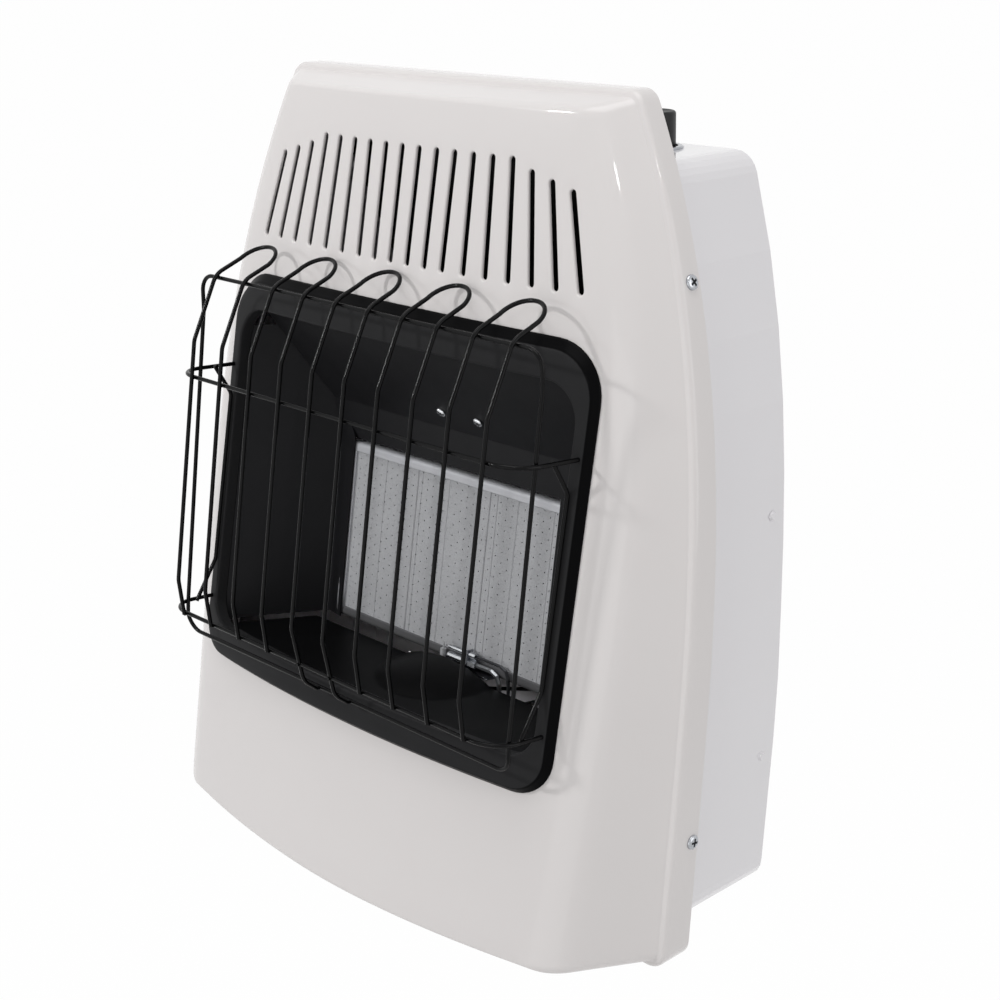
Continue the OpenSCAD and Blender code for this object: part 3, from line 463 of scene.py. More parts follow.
def buildFront():
    rb, rt, low, high = (front[k] for k in ("cornerLow", "cornerHigh", "innerLow", "innerHigh"))
    inner = faceRim(low, high, rb - low, rt - high, (front["roundLow"], front["roundHigh"]))
    rings = borderRings(faceRim(0, 0, rb, rt, (0, 0)), inner)
    count = len(inner)
    points = [p for ring in rings for p in ring]
    faces = ringFaces(len(rings), count)
    rimStart = len(points) - count

    # flat field inside the border, with the window and the slots left out
    outerLip = louvre["throat"] + louvre["lip"]
    slots = [slotLoop(s, j, outerLip) for s in (-1, 1) for j in range(louvre["count"])]
    hole = roundRect(**window)

    def onSheet(x, z):
        return insideLoop(x, z, inner) and not insideLoop(x, z, hole) and not any(
            insideLoop(x, z, s) for s in slots if abs(x - s[0][0]) < 30)

    flat, edges = [], []
    for loop in [inner, hole] + slots:
        start, size = len(flat), len(loop)
        edges += [(start + i, start + (i + 1) % size) for i in range(size)]
        flat += loop
    fixed = np.array(flat)
    cell = front["cell"]
    for i in range(-36, 37):
        for k in range(-40, 46):
            x, z = (i + 0.5 * (k % 2)) * cell, k * cell * 0.866
            gap = np.min(np.hypot(fixed[:, 0] - x, fixed[:, 1] - z))
            if gap > cell * 0.55 and onSheet(x, z):
                flat.append((x, z))
    found = geometry.delaunay_2d_cdt([Vector(p) for p in flat], edges, [], 0, 1e-6)
    places, triangles, sources = found[0], found[2], found[3]
    owner = {source: index for index, group in enumerate(sources) for source in group}
    number = {owner[i]: rimStart + i for i in range(count)}
    for index, (x, z) in enumerate(places):
        if index not in number:
            number[index] = len(points)
            points.append((x, faceY(x, z), z))
    for tri in triangles:
        x, z = (sum(places[i][axis] for i in tri) / 3 for axis in (0, 1))
        if onSheet(x, z):
            faces.append(tuple(number[i] for i in tri))

    # rolled lips of the slots
    offset = count + len(hole)
    for n, slot in enumerate(slots):
        side, j = (-1, 1)[n // louvre["count"]], n % louvre["count"]
        size = len(slot)
        previous = [number[owner[offset + n * size + i]] for i in range(size)]
        for k in range(1, 7):
            a = math.radians(18 * min(k, 5))
            inset = louvre["lip"] * math.sin(a)
            deep = louvre["lip"] * (1 - math.cos(a)) + (louvre["wall"] if k == 6 else 0)
            first = len(points)
            points += [(x, faceY(x, z) + deep, z) for x, z in slotLoop(side, j, outerLip - inset)]
            current = [first + i for i in range(size)]
            faces += [(previous[i], previous[(i + 1) % size], current[(i + 1) % size], current[i])
                      for i in range(size)]
            previous = current
    piece = toPiece("enamelFront", points, faces, finishes["enamel"], 60)
    return thicken(piece, front["sheet"], 60)


enamelFront = buildFront()
settle(enamelFront, "enamel", "front_panel")
print("front", len(enamelFront.data.polygons))


# window bezel

bezel = dict(x=177.0, top=149.0, bottom=130.0, rTop=35.0, rBottom=27.0, height=6.0, openX=164.5,
             openTop=123.5, openBottom=106.0, openRTop=25.0, openRBottom=20.0, bevelTop=7.0,
             bevel=3.7, roll=1.8, shadedRings=7, sheet=1.0)


def buildBezel():
    def outer(inset, insetTop):
        return roundRect(bezel["x"] - inset, bezel["top"] / leanCos - insetTop,
                         bezel["bottom"] / leanCos - inset,
                         bezel["rTop"] - (inset + insetTop) / 2, bezel["rBottom"] - inset)

    def inner(out):
        return roundRect(bezel["openX"] + out, bezel["openTop"] / leanCos + out,
                         bezel["openBottom"] / leanCos + out, bezel["openRTop"] + out,
                         bezel["openRBottom"] + out)

    h, roll, bevel, bevelTop = (bezel[k] for k in ("height", "roll", "bevel", "bevelTop"))
    profile = [(outer(0, 0), 0.4), (outer(0.15, 0.15), 1.0)]
    for t in (0.2, 0.4, 0.6, 0.8):
        profile.append((outer(0.3 + (bevel - 0.9) * t, 0.3 + (bevelTop - 0.9) * t),
                        1.0 + (h - 1.7) * t))
    profile.append((outer(bevel - 0.3, bevelTop - 0.3), h - 0.22))
    ridge, edge = outer(bevel + 0.4, bevelTop + 0.4), inner(roll + 0.1)
    profile.append((ridge, h))
    for t in (0.25, 0.5, 0.75):  # flat of the flange
        profile.append(([(p[0] * (1 - t) + q[0] * t, p[1] * (1 - t) + q[1] * t)
                         for p, q in zip(ridge, edge)], h))
    for k in range(6):  # rolled inner edge
        a = math.radians(18 * k)
        profile.append((inner(roll * (1 - math.sin(a))), h - roll * (1 - math.cos(a))))
    profile += [(inner(0), 2.0), (inner(0), -3.0)]
    points = [onFace(u, v, height) for ring, height in profile for u, v in ring]
    count = len(ridge)
    piece = toPiece("windowBezel", points, ringFaces(len(profile), count), finishes["bezel"], 50)
    # the rings up to shadedRings are marked deep, which the finish paints as painted shade on the
    # bevel
    deep = [float(k < bezel["shadedRings"]) for k in range(len(profile)) for i in range(count)]
    piece.data.attributes.new("deep", "FLOAT", "POINT").data.foreach_set("value", deep)
    return thicken(piece, bezel["sheet"], 50)


windowBezel = buildBezel()
settle(windowBezel, "black_enamel", "window_bezel")
print("bezel", len(windowBezel.data.polygons))


# paths

def bend(a, b, c, r, steps):
    a, b, c = Vector(a), Vector(b), Vector(c)
    u, w = (a - b).normalized(), (c - b).normalized()
    turn = math.acos(max(-1, min(1, u.dot(w))))
    if turn > math.pi - 1e-3:
        return [tuple(b)]
    m = b + (u + w).normalized() * (r / math.sin(turn / 2))
    s = b + u * (r / math.tan(turn / 2))
    e1 = (s - m).normalized()
    e = b + w * (r / math.tan(turn / 2)) - m
    e2 = (e - e.dot(e1) * e1).normalized()
    return [tuple(m + r * (math.cos(p) * e1 + math.sin(p) * e2))
            for p in ((math.pi - turn) * i / steps for i in range(steps + 1))]


def run(points, r, steps=8):
    path = [tuple(points[0])]
    for i in range(1, len(points) - 1):
        path += bend(points[i - 1], points[i], points[i + 1], r, steps)
    return path + [tuple(points[-1])]


def subdivided(path, longest=9.0):
    out = [path[0]]
    for a, b in zip(path, path[1:]):
        parts = max(1, math.ceil(math.dist(a, b) / longest))
        out += [tuple(a[n] + (b[n] - a[n]) * i / parts for n in range(3))
                for i in range(1, parts + 1)]
    return out


def mirrored(path):
    return [(-x, y, z) for x, y, z in path[::-1]]


# geometry node trees

class Plan:  # a geometry node tree while it is laid out
    def __init__(self, name, inputs):
        self.tree = bpy.data.node_groups.new(name, "GeometryNodeTree")
        face = self.tree.interface
        for label, kind in inputs.items():
            face.new_socket(label, in_out="INPUT", socket_type="NodeSocket" + kind)
        face.new_socket("Piece", in_out="OUTPUT", socket_type="NodeSocketGeometry")
        self.start = self.tree.nodes.new("NodeGroupInput").outputs

    def add(self, kind, values, output=0, **settings):
        node = self.tree.nodes.new(kind)
        for key, value in settings.items():
            setattr(node, key, value)
        for key, value in values.items():
            for item in value if isinstance(value, list) else [value]:
                if isinstance(item, bpy.types.NodeSocket):
                    self.tree.links.new(item, node.inputs[key])
                else:
                    node.inputs[key].default_value = item
        return node.outputs[output]

    def calc(self, operation, a, b):
        return self.add("ShaderNodeMath", {0: a, 1: b}, operation=operation)

    def close(self, result):
        real = self.add("GeometryNodeRealizeInstances", {"Geometry": result})
        paint = self.add("GeometryNodeSetMaterial", {
            "Geometry": real, "Material": self.start["Finish"]})
        end = self.tree.nodes.new("NodeGroupOutput")
        self.tree.links.new(paint, end.inputs["Piece"])
        return self.tree


def setInputs(piece, tree, values):
    modifier = piece.modifiers.new(tree.name, "NODES")
    modifier.node_group = tree
    for item in tree.interface.items_tree:
        if item.in_out == "INPUT" and item.name in values:
            modifier[item.identifier] = values[item.name]


def wireTree():
    plan = Plan("wireRuns", {"Paths": "Geometry", "Wire radius": "Float", "Sides": "Int",
                             "Finish": "Material"})
    start = plan.start
    curve = plan.add("GeometryNodeMeshToCurve", {"Mesh": start["Paths"]})
    girth = plan.add("GeometryNodeInputNamedAttribute", {"Name": "girth"})
    circle = plan.add("GeometryNodeCurvePrimitiveCircle", {
        "Resolution": start["Sides"], "Radius": start["Wire radius"]})
    route = plan.add("GeometryNodeSetCurveRadius", {"Curve": curve, "Radius": girth})
    return plan.close(plan.add("GeometryNodeCurveToMesh", {
        "Curve": route, "Profile Curve": circle, "Scale": girth, "Fill Caps": True}))


wireRuns = wireTree()


def tubePiece(name, paths, radius, finish, sides=12, sharp=50):
    points, edges, girths = [], [], []
    for path, loop, girth in paths:
        first = len(points)
        points += path
        girths += [girth] * len(path)
        edges += [(first + i, first + i + 1) for i in range(len(path) - 1)]
        if loop:
            edges.append((first + len(path) - 1, first))
    mesh = toMesh(name, points, edges, [])
    mesh.attributes.new("girth", "FLOAT", "POINT").data.foreach_set("value", girths)
    piece = addObject(name, mesh)
    setInputs(piece, wireRuns, {"Wire radius": radius * mm, "Sides": sides, "Finish": finish})
    return flatten(piece, sharp)


# wire guard: pairs of (y, z) on each leg, on the frame wire and on the braces

guard = dict(wire=3.3, shown=2.9, pitch=32.33, pairs=5, foot=(-226, -86), low=(-229, -59),
             high=(-203, 110), shoulder=(-181.8, 153), pin=(-160.7, 160.9),
             rise=math.radians(29.3), toe=(-210.5, -107.6), toeBend=(-221, -99), legR=14,
             frameX=166.5, frameHigh=(-179, 125), frameLow=(-209.5, -92), frameJoin=(-208, -86),
             frameR=12, armX=170.6, armZ=(80, -90), armR=22, upZ=84, lowZ=-86,
             braceHead=(-172, 82.6), braceZ=(60, -61), braceFoot=(-200, -89.2), braceR=7,
             neck=0.86)


def buildGuard():
    r, w = guard["shown"] / 2, guard["wire"] * 0.88
    half, pairs, frameX = guard["pitch"] / 2, guard["pairs"], guard["frameX"]
    (lowY, lowZ), (highY, highZ), (shoulderY, shoulderZ), (pinY, pinZ) = (
        guard[k] for k in ("low", "high", "shoulder", "pin"))

    def leg(x, toe):
        ends = [guard["toe"], guard["toeBend"]] if toe else [guard["foot"]]
        ends += [guard[k] for k in ("low", "high", "shoulder", "pin")]
        return run([(x, y, z) for y, z in ends], guard["legR"])

    def hairpin(c, toe):
        loop = [(c + half * math.cos(a), pinY + half * math.sin(a) * math.cos(guard["rise"]),
                 pinZ + half * math.sin(a) * math.sin(guard["rise"]))
                for a in (math.radians(172 - 8.2 * i) for i in range(21))]
        return leg(c - half, toe) + loop + leg(c + half, toe)[::-1]

    def legY(z):
        return lowY + (highY - lowY) * (z - lowZ) / (highZ - lowZ)

    paths = [(subdivided(hairpin(k * 2 * guard["pitch"], k == 0)), False, 1.0)
             for k in range(-(pairs // 2), pairs // 2 + 1)]
    top = (shoulderY + 0.66 * w + 1.2, shoulderZ - 0.75 * w - 1)
    bottom = (guard["toe"][0] + w + 0.6, guard["toe"][1] - 0.4)
    corners = [(frameX, *yz) for yz in (top, guard["frameHigh"], guard["frameLow"], bottom)]
    side = bend((0, *top), corners[0], corners[1], guard["frameR"], 10)
    side += [corners[1], (frameX, *guard["frameJoin"])]
    side += bend(corners[2], corners[3], (0, *bottom), guard["frameR"], 10)
    paths.append((subdivided(side + mirrored(side)), True, 1.0))
    carriers = [(legY(guard["upZ"]) + w, guard["upZ"]), (guard["foot"][0] + w, guard["lowZ"])]
    for armZ, carrier in zip(guard["armZ"], carriers):
        y = faceY(guard["armX"], armZ) - bezel["height"] + 4
        arm = [(guard["armX"], y, armZ), (frameX + w, *carrier)]
        paths.append((subdivided(run(arm + mirrored(arm), guard["armR"], 12)), False, 1.0))
    braceX = guard["armX"] - w
    brace = [guard["braceHead"], *(
        (faceY(braceX, z) - (bezel["height"] + r + 0.4) / leanCos, z) for z in guard["braceZ"]),
        guard["braceFoot"]]
    for s in (-1, 1):
        path = run([(s * braceX, y, z) for y, z in brace], guard["braceR"], 6)
        paths.append((subdivided(path), False, 1.0))
    upper, lower = carriers
    welds = [((legY(guard["upZ"]), guard["upZ"]), upper),
             ((guard["foot"][0], guard["lowZ"]), lower), ((shoulderY + 0.6, shoulderZ - 1), top)]
    for x in ((k + 0.5) * guard["pitch"] for k in range(-pairs, pairs)):
        paths += [([(x, *a), (x, *b)], False, guard["neck"]) for a, b in welds]
    for x in (-half, half):
        paths.append(([(x, *guard["toe"]), (x, *bottom)], False, guard["neck"]))
    return tubePiece("wireGuard", paths, r, finishes["guard"])


wireGuard = buildGuard()
settle(wireGuard, "black_enamel", "wire_guard")
print("guard", len(wireGuard.data.polygons))


# ceramic plaques with their pinholes, and grooves at the x given for each

burner = dict(depth=98.5, lean=math.radians(8.9), mid=-41.7, width=72.3, height=125.0, thick=13.0,
              gap=0.4)
plaque = dict(column=5.8, row=7.4, columns=6, rows=17, pinRadius=0.52, pinDepth=2.4, edge=0.5,
              grooveDepth=0.5, grooveHalf=0.8, left=(-69.6,), centre=(-31.5, -3.6),
              right=(44.0, 63.6, 97.0))


def atBurner(x, y, v):  # y into the wall from the plaques' face, v up their slope
    c, s = math.cos(burner["lean"]), math.sin(burner["lean"])
    return (x, -burner["depth"] + y * c + v * s, -y * s + v * c)


def pinholeTree():
    plan = Plan("pinholes", {
        "Slab": "Geometry", "Column pitch": "Float", "Row pitch": "Float", "Columns": "Int",
        "Rows": "Int", "Pin radius": "Float", "Pin depth": "Float", "Middle": "Vector",
        "Finish": "Material"})
    start, add, calc = plan.start, plan.add, plan.calc
    pin = add("GeometryNodeMeshCylinder", {"Vertices": 8, "Radius": start["Pin radius"],
                                           "Depth": calc("MULTIPLY", start["Pin depth"], 2.0)})
    gaps = calc("MULTIPLY", calc("SUBTRACT", start["Columns"], 1.0), 2.0)
    tall = calc("MULTIPLY", start["Row pitch"], calc("SUBTRACT", start["Rows"], 1.0))
    grid = add("GeometryNodeMeshGrid", {
        "Size X": calc("MULTIPLY", start["Column pitch"], gaps), "Size Y": tall,
        "Vertices X": start["Columns"], "Vertices Y": start["Rows"]})
    fields = []
    for turn in (-0.25, 0.25):  # two lattices, staggered
        shift = add("ShaderNodeCombineXYZ", {0: calc("MULTIPLY", start["Column pitch"], turn * 2),
                                             1: calc("MULTIPLY", start["Row pitch"], turn)})
        place = add("ShaderNodeVectorMath", {0: start["Middle"], 1: shift})
        moved = add("GeometryNodeTransform", {"Geometry": grid, "Translation": place})
        fields.append(add("GeometryNodeInstanceOnPoints", {"Points": moved, "Instance": pin}))
    both = add("GeometryNodeJoinGeometry", {"Geometry": fields})
    real = add("GeometryNodeRealizeInstances", {"Geometry": both})
    return plan.close(add("GeometryNodeMeshBoolean", {"Mesh 1": start["Slab"], "Mesh 2": real},
                          operation="DIFFERENCE", solver="MANIFOLD"))


pinholes = pinholeTree()


def buildPlaque(name, k, grooves):
    x0 = (burner["width"] + burner["gap"]) * k - burner["width"] / 2
    x1, v0 = x0 + burner["width"], burner["mid"] - burner["height"] / 2
    v1 = burner["mid"] + burner["height"] / 2
    edge, deep, half = plaque["edge"], plaque["grooveDepth"], plaque["grooveHalf"]
    top = [(x0, -edge), (x0 + edge, 0)]
    for g in grooves:
        top += [(g - half, 0), (g - half * 0.35, -deep), (g + half * 0.35, -deep), (g + half, 0)]
    top += [(x1 - edge, 0), (x1, -edge), (x1, -burner["thick"]), (x0, -burner["thick"])]
    n = len(top)
    points = [(x, v, z) for v in (v0, v1) for x, z in top]
    faces = ringFaces(2, n) + [tuple(range(n - 1, -1, -1)), tuple(range(n, 2 * n))]
    piece = toPiece(name, points, faces, finishes["ceramic"], 30, mend=True)
    setInputs(piece, pinholes, {
        "Column pitch": plaque["column"] * mm, "Row pitch": plaque["row"] * mm,
        "Columns": plaque["columns"], "Rows": plaque["rows"],
        "Pin radius": plaque["pinRadius"] * mm, "Pin depth": plaque["pinDepth"] * mm,
        "Middle": ((x0 + x1) / 2 * mm, burner["mid"] * mm, 0), "Finish": finishes["ceramic"]})
    flatten(piece, 30)
    for vertex in piece.data.vertices:
        x, v, z = vertex.co
        vertex.co = [c * mm for c in atBurner(x / mm, -z / mm, v / mm)]
    return piece


for name, node, k in (("Left", "left", -1), ("Centre", "centre", 0), ("Right", "right", 1)):
    piece = buildPlaque("plaque" + name, k, plaque[node])
    settle(piece, "ceramic", "plaque_" + node)
    print("plaque", node, len(piece.data.polygons))


# burner frame, a pressed ring with rolled edges

edging = dict(lipSide=5.8, lipEnd=4.0, roll=3.0, wall=3.0, proud=1.5, corner=4.0, skirt=6.0,
              sheet=0.6)


def buildBurnerFrame():
    roll, wall, proud, corner = (edging[k] for k in ("roll", "wall", "proud", "corner"))
    halfX = (burner["width"] * 3 + 2 * burner["gap"]) / 2 + wall
    halfV = burner["height"] / 2 + wall
    lipX, lipV = wall + edging["lipSide"], wall + edging["lipEnd"]

    def ring(insetX, insetV, r):
        v = halfV - insetV
        return roundRect(halfX - insetX, v + burner["mid"], v - burner["mid"], r, r, 20, 12, 5)

    profile = [(ring(lipX, lipV, 0.8), -0.2), (ring(lipX, lipV, 0.8), -1.1),
               (ring(lipX - 0.4, lipV - 0.4, 1.2), -proud),
               (ring(roll + 1.2, roll + 0.6, 2.0), -proud)]
    for k in range(7):
        a = math.radians(15 * k)
        r = roll * (1 - math.sin(a))
        profile.append((ring(r, r, corner - r * 0.6), -proud + roll * (1 - math.cos(a))))
    profile += [(ring(0, 0, corner), y) for y in (edging["skirt"], burner["thick"] + 0.4)]
    points = [atBurner(x, y, v) for loop, y in profile for x, v in loop]
    faces = [f[::-1] for f in ringFaces(len(profile), len(profile[0][0]))]
    piece = toPiece("burnerFrame", points, faces, finishes["burner_frame"], 40)
    return thicken(piece, edging["sheet"], 40)


burnerFrame = buildBurnerFrame()
settle(burnerFrame, "aluminised", "burner_frame")
print("burner frame", len(burnerFrame.data.polygons))


# black hood over the burner

hood = dict(rear=(152, 143.5), lip=(157, 126.5), fold=(125, -98, 54), foot=(120, -95),
            aboveRing=5.45, bend=5.0, sheet=0.9, behind=1.3)


def buildHood():
    top = burner["mid"] + burner["height"] / 2
    footZ = top * math.cos(burner["lean"]) + hood["aboveRing"]
    (foldX, foldY, foldZ), (footX, footY) = hood["fold"], hood["foot"]
    columns = []
    for s in ((i - 20) / 20 for i in range(41)):
        path = [(s * x, faceY(s * x, z) + hood["behind"], z)
                for x, z in (hood["rear"], hood["lip"])]
        path += [(s * foldX, foldY, foldZ), (s * footX, footY, footZ)]
        columns.append(run(path, hood["bend"], 6))
    points = [p for row in zip(*columns) for p in row]
    faces = [f[::-1] for f in gridFaces(len(columns[0]), len(columns))]
    return thicken(toPiece("heatHood", points, faces, finishes["firebox"], 50), hood["sheet"], 50)


heatHood = buildHood()
settle(heatHood, "black_enamel", "heat_hood")
print("hood", len(heatHood.data.polygons))


# cheeks beside the burner, each with a cover that reaches over the end of the frame

cheek = dict(inside=165.75, top=107.0, foot=-109.0, cut=(143.0, -110.0),
             rearTop=(126.0, -91.0, 58.0), rearFoot=(126.0, -110.0, -110.0), coverX=103.4,
             coverOut=-3.6, coverV=(27.0, -108.0), sheet=0.9, bend=4.0)


def buildCheek(name, side):
    ends, x = [], cheek["inside"]
    for z, rear, coverV in ((cheek["top"], cheek["rearTop"], cheek["coverV"][0]),
                            (cheek["foot"], cheek["rearFoot"], cheek["coverV"][1])):
        lip = (x + 9, faceY(x + 10.5, z) + 1.4, z)
        mouth = (x, faceY(x, z) + 3.1, z)
        cut = (*cheek["cut"], z) if z > 0 else ((rear[0] + x) / 2 - 0.4,
                                                (rear[1] + mouth[1]) / 2 + 0.4, z)
        cover = atBurner(cheek["coverX"], cheek["coverOut"], coverV)
        ends.append([cover, rear, cut, mouth, lip])
    rows = []
    for t in (r / 24 for r in range(25)):
        corners = [tuple(a * (1 - t) + b * t for a, b in zip(*pair)) for pair in zip(*ends)]
        rows.append(run(corners, cheek["bend"], 5))
    points = [(side * x, y, z) for row in rows for x, y, z in row]
    faces = gridFaces(len(rows), len(rows[0]))
    if side > 0:
        faces = [f[::-1] for f in faces]
    return thicken(toPiece(name, points, faces, finishes["firebox"], 50), cheek["sheet"], 50)


for name, node, side in (("leftCheek", "left_cheek", -1), ("rightCheek", "right_cheek", 1)):
    piece = buildCheek(name, side)
    settle(piece, "black_enamel", node)
    print(node, len(piece.data.polygons))


# firebox floor with its round dome

fireFloor = dict(z=-110.0, rear=-124.0, frontHalf=160.0, rearHalf=124.0, lip=13.0, sheet=1.0,
                 dome=(20.0, -132.0), domeR=44.0, domeH=9.5, cells=80, rows=56)


def domeHeight(x, y):
    d = math.dist((x, y), fireFloor["dome"])
    r, h = fireFloor["domeR"], fireFloor["domeH"]
    ball = (r * r + h * h) / (2 * h)
    if d < r:
        return math.sqrt(ball * ball - d * d) - ball + h
    return 0.0


def buildFloor():
    half, z, cells, rows = (fireFloor[k] for k in ("frontHalf", "z", "cells", "rows"))
    across = [(c - cells) / cells for c in range(2 * cells + 1)]
    points = []
    for drop in (fireFloor["lip"], fireFloor["lip"] / 2, 2.0, 0.6):  # front lip, turned down
        behind = 1.3 + (0.6 if drop < 1 else 0)
        points += [(half * s, faceY(half * s, z - drop) + behind, z - drop) for s in across]
    for t in (r / (rows - 1) for r in range(rows)):
        for s in across:
            x = s * (half * (1 - t) + fireFloor["rearHalf"] * t)
            y = (faceY(s * half, z) + 2.6) * (1 - t) + fireFloor["rear"] * t
            points.append((x, y, z + domeHeight(x, y)))
    piece = toPiece("fireboxFloor", points, gridFaces(rows + 4, len(across)), finishes["floor"], 50)
    return thicken(piece, fireFloor["sheet"], 50)


fireboxFloor = buildFloor()
settle(fireboxFloor, "black_enamel", "firebox_floor")
print("floor", len(fireboxFloor.data.polygons))


# cross recess screws

screw = dict(head=[(0, -8), (1.9, -8), (1.9, 0), (4.75, 0), (4.75, 0.75), (4.5, 1.35),
                   (3.8, 1.85), (2.7, 2.15), (1.4, 2.28), (0, 2.32)],  # radius and height
             panelAt=((-93.7, 182.5), (-120, -160)), panelScale=1.0, hoodX=(2, 38), hoodScale=0.8,
             hoodShare=0.2, hoodProud=0.3)
# Shade reach and Shade below bound the painted shade down in the cross recess
recess = {"Recess width": 1.5, "Recess length": 5.6, "Recess depth": 3.6, "Recess middle": 2.3,
          "Dark reach": 3.0, "Dark below": 1.8}


def screwTree():
    plan = Plan("panScrews", {"Seats": "Geometry", "Head": "Object", "Head scale": "Float",
                              **dict.fromkeys(recess, "Float"), "Finish": "Material"})
    start, add, calc = plan.start, plan.add, plan.calc
    head = add("GeometryNodeObjectInfo", {"Object": start["Head"]}, "Geometry")
    middle = add("ShaderNodeCombineXYZ", {2: start["Recess middle"]})
    bars = []
    for x, y in (("Recess width", "Recess length"), ("Recess length", "Recess width")):
        size = add("ShaderNodeCombineXYZ", {0: start[x], 1: start[y], 2: start["Recess depth"]})
        bar = add("GeometryNodeMeshCube", {"Size": size})
        bars.append(add("GeometryNodeTransform", {"Geometry": bar, "Translation": middle}))
    cut = add("GeometryNodeMeshBoolean", {"Mesh 1": head, "Mesh 2": bars},
              operation="DIFFERENCE", solver="EXACT")
    # points down in the cross recess are marked recess, for the painted shade of the screw finish
    position = add("GeometryNodeInputPosition", {})
    height = add("ShaderNodeSeparateXYZ", {0: position}, 2)
    level = add("ShaderNodeVectorMath", {0: position, 1: (1, 1, 0)}, operation="MULTIPLY")
    reach = add("ShaderNodeVectorMath", {0: level}, "Value", operation="LENGTH")
    recessShade = calc("MULTIPLY", calc("LESS_THAN", reach, start["Dark reach"]),
                calc("LESS_THAN", height, start["Dark below"]))
    marked = add("GeometryNodeStoreNamedAttribute", {
        "Geometry": cut, "Name": "recess", "Value": recessShade}, data_type="FLOAT", domain="POINT")
    axis = add("GeometryNodeInputNamedAttribute", {"Name": "axis"}, data_type="FLOAT_VECTOR")
    spin = add("GeometryNodeInputNamedAttribute", {"Name": "spin"}, data_type="FLOAT")
    aim = add("FunctionNodeAlignRotationToVector", {"Vector": axis}, axis="Z")
    turn = add("FunctionNodeAxisAngleToRotation", {"Axis": (0, 0, 1), "Angle": spin})
    both = add("FunctionNodeRotateRotation", {"Rotation": aim, "Rotate By": turn},
               rotation_space="LOCAL")
    return plan.close(add("GeometryNodeInstanceOnPoints", {
        "Points": start["Seats"], "Instance": marked, "Rotation": both,
        "Scale": start["Head scale"]}))


def revolve(name, profile, centre, finish, segments, sharp):  # profile from pole to pole
    cx, cy = centre
    turns = [2 * math.pi * i / segments for i in range(segments)]
    points, faces = [(cx, cy, profile[0][1])], []
    for r, z in profile[1:-1]:
        points += [(cx + r * math.cos(a), cy + r * math.sin(a), z) for a in turns]
    points.append((cx, cy, profile[-1][1]))
    last = len(points) - 1
    for i in range(segments):
        j = (i + 1) % segments
        faces.append((0, 1 + j, 1 + i))
        for k in range(len(profile) - 3):
            a, b = 1 + k * segments, 1 + (k + 1) * segments
            faces.append((a + i, a + j, b + j, b + i))
        faces.append((last - segments + i, last - segments + j, last))
    return toPiece(name, points, faces, finish, sharp)


screwHead = revolve("screwHead", screw["head"], (0, 0), finishes["zinc_steel"], 32, 60)
panScrews = screwTree()


def buildScrews(name, seats, scale, finish):  # each seat is a place, an axis and a turn
    places, axes, spins = zip(*seats)
    mesh = toMesh(name, places, [], [])
    mesh.attributes.new("axis", "FLOAT_VECTOR", "POINT").data.foreach_set(
        "vector", [c for axis in axes for c in axis])
    mesh.attributes.new("spin", "FLOAT", "POINT").data.foreach_set("value", spins)
    piece = addObject(name, mesh)
    setInputs(piece, panScrews, {"Head": screwHead, "Head scale": scale, "Finish": finish,
                                 **{label: size * mm for label, size in recess.items()}})
    return flatten(piece, 35)


def panelSeats():
    seats = []
    for s in (-1, 1):
        for n, (y, z) in enumerate(screw["panelAt"]):
            tilt = sideTilt(z)
            axis = (s * math.cos(tilt), 0, math.sin(tilt))
            seats.append(((s * halfWidth(z), y, z), axis, 0.5 + 0.9 * n))
    return seats


def hoodSeats():
    lipZ, (foldY, foldZ) = hood["lip"][1], hood["fold"][1:]
    riseY, riseZ = faceY(0, lipZ) + hood["behind"] - foldY, lipZ - foldZ
    long = math.hypot(riseY, riseZ)
    axisY, axisZ = -riseZ / long, riseY / long
    y = foldY + riseY * screw["hoodShare"] + axisY * screw["hoodProud"]
    z = foldZ + riseZ * screw["hoodShare"] + axisZ * screw["hoodProud"]
    return [((x, y, z), (0, axisY, axisZ), 0.4 + x * 0.05) for x in screw["hoodX"]]


panelScrews = buildScrews("panelScrews", panelSeats(), screw["panelScale"], finishes["screw_zinc"])
hoodScrews = buildScrews("hoodScrews", hoodSeats(), screw["hoodScale"], finishes["screw_bright"])
bpy.data.objects.remove(screwHead)
settle(panelScrews, "zinc_steel", "panel_screws")
settle(hoodScrews, "zinc_steel", "hood_screws")
print("screws", len(panelScrews.data.polygons) + len(hoodScrews.data.polygons))


# control knob on its spindle

knob = dict(centre=(116, -30), radius=15.5, height=22.0, top=270.0, spindle=3.0, base=187.0,
            chamfer=0.8, draft=0.3, roll=1.8, dish=0.6)


def buildKnob():
    r, top, roll, base, spindle = (knob[k] for k in ("radius", "top", "roll", "base", "spindle"))
    chamfer, draft, dish = (knob[k] for k in ("chamfer", "draft", "dish"))
    foot, straight = top - knob["height"], knob["height"] - chamfer - roll
    profile = [(0, base), (spindle, base), (spindle, foot), (r - chamfer, foot)]
    profile += [(r - draft * t, foot + chamfer + straight * t) for t in (0, 0.25, 0.5, 0.75, 1)]
    for k in range(1, 6):
        a = math.radians(18 * k)
        profile.append((r - draft - roll * (1 - math.cos(a)), top - roll * (1 - math.sin(a))))
    profile += [(r - 3.2, top - 0.25), (r - 4, top - dish), (4, top - dish), (0, top - dish)]
    return revolve("controlKnob", profile, knob["centre"], finishes["knob_black"], 72, 50)


controlKnob = buildKnob()
settle(controlKnob, "knob_black", "control_knob", body="knob")
print("knob", len(controlKnob.data.polygons))


# stage, lamps and camera

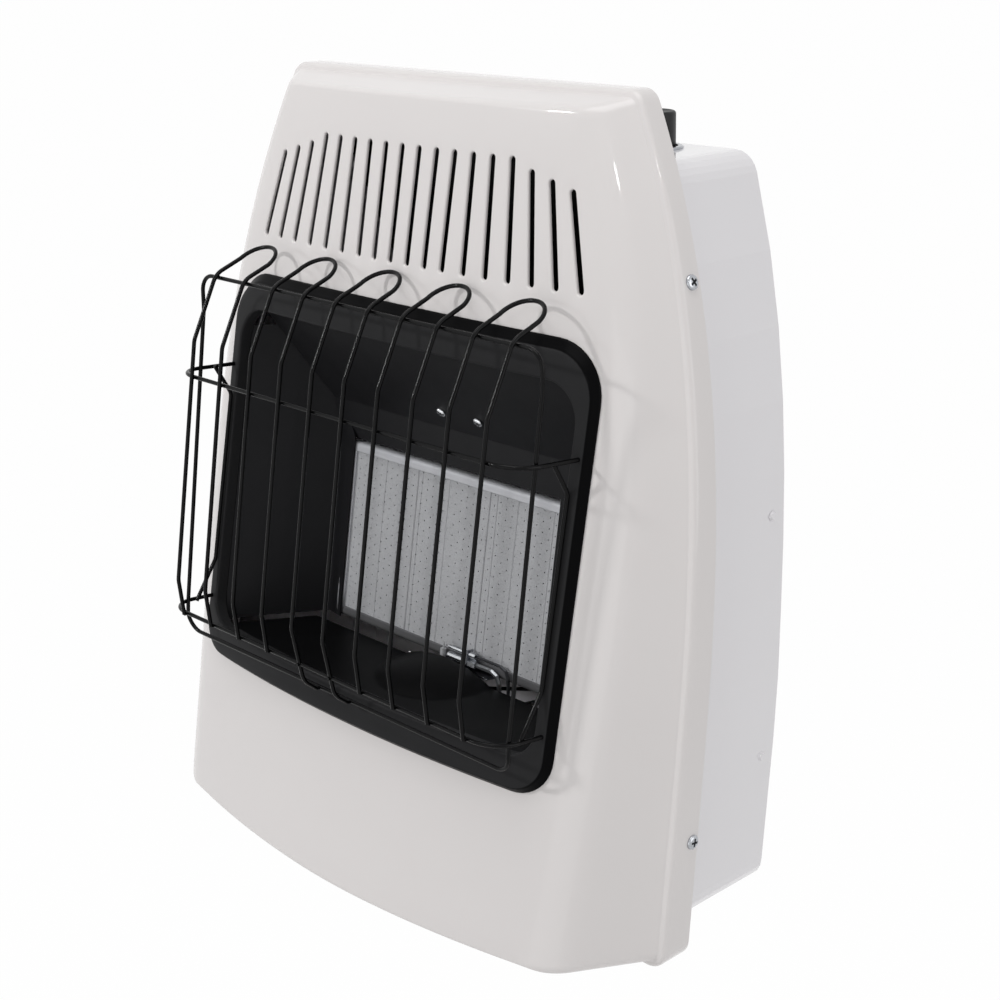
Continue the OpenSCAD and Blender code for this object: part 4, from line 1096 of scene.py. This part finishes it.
stage = dict(half=60000, z=-1100, white=0.985, ambient=0.37)
lamps = {  # place and aim in metres, side in metres, watts
    "keyLeft": ((-1.15, -2.0, 1.2), (0, -0.1, 0), 0.16, 16),
    "fillFront": ((0.6, -2.4, -0.3), (0, -0.1, -0.1), 1.8, 7.5),
    "keyRight": ((1.5, -1.7, 1.5), (0, -0.1, 0), 0.12, 2.2),
    "fillRight": ((2.2, 0.3, 0.5), (0, -0.1, 0), 1.6, 12),
    "softTop": ((0.1, -0.5, 2.2), (0, -0.1, 0), 1.4, 17),
}
view = dict(place=(0.870, -0.895, 0.391), yaw=-45.92, pitch=-18.22, roll=-0.49, lens=64.8)


def seenWhite(layout):  # 1 for the camera and for what gloss and glass show
    seen = layout.node("ShaderNodeLightPath", {}, {}, "Is Camera Ray")
    for ray in ("Is Glossy Ray", "Is Transmission Ray"):
        seen = seen.sum("MAXIMUM", seen, layout.node("ShaderNodeLightPath", {}, {}, ray))
    return seen


def buildStage():
    f = Finish("paleFloor")
    matt = f.node("ShaderNodeBsdfDiffuse", {}, {"Color": tone(244, 244, 244)})
    glow = f.node("ShaderNodeEmission", {}, {"Color": (1, 1, 1, 1), "Strength": 1.0})
    mix = {0: seenWhite(f) * stage["white"], 1: matt, 2: glow}
    f.end("ShaderNodeOutputMaterial", f.node("ShaderNodeMixShader", {}, mix))
    corners = [(x * stage["half"], y * stage["half"], stage["z"])
               for x, y in ((-1, -1), (1, -1), (1, 1), (-1, 1))]
    floor = toPiece("floor", corners, [(0, 1, 2, 3)], f.material)


def buildWorld():
    world = bpy.data.worlds.new("studio")
    bpy.context.scene.world = world
    sky = Layout(world)
    strength = seenWhite(sky) * (1 - stage["ambient"]) + stage["ambient"]
    sky.end("ShaderNodeOutputWorld", sky.node("ShaderNodeBackground", {}, {
        "Color": (1, 1, 1, 1), "Strength": strength}))


def addLamp(name, place, aim, side, power):
    lamp = bpy.data.lights.new(name, "AREA")
    lamp.shape = "SQUARE"
    lamp.size = side
    lamp.energy = power
    away = Vector(place) - Vector(aim)
    turn = away.to_track_quat("Z", "Y").to_matrix().to_4x4()
    addObject(name, lamp).matrix_world = Matrix.Translation(place) @ turn


def placeCamera():
    yaw, pitch, roll = (math.radians(view[k]) for k in ("yaw", "pitch", "roll"))
    right = Vector((math.cos(yaw), -math.sin(yaw), 0))
    ahead = Vector((math.sin(yaw), math.cos(yaw), 0)) * math.cos(pitch)
    ahead.z = math.sin(pitch)
    up = right.cross(ahead)
    across = math.cos(roll) * right + math.sin(roll) * up
    rise = -math.sin(roll) * right + math.cos(roll) * up
    camera = bpy.data.cameras.new("camera")
    camera.lens = view["lens"]
    camera.sensor_width = 36
    item = addObject("camera", camera)
    turn = Matrix((across, rise, -ahead)).transposed().to_4x4()
    item.matrix_world = Matrix.Translation(view["place"]) @ turn
    bpy.context.scene.camera = item


buildStage()
buildWorld()
for name, settings in lamps.items():
    addLamp(name, *settings)
placeCamera()
print("lamps", len(lamps))
bpy.context.scene.view_settings.view_transform = "Standard"
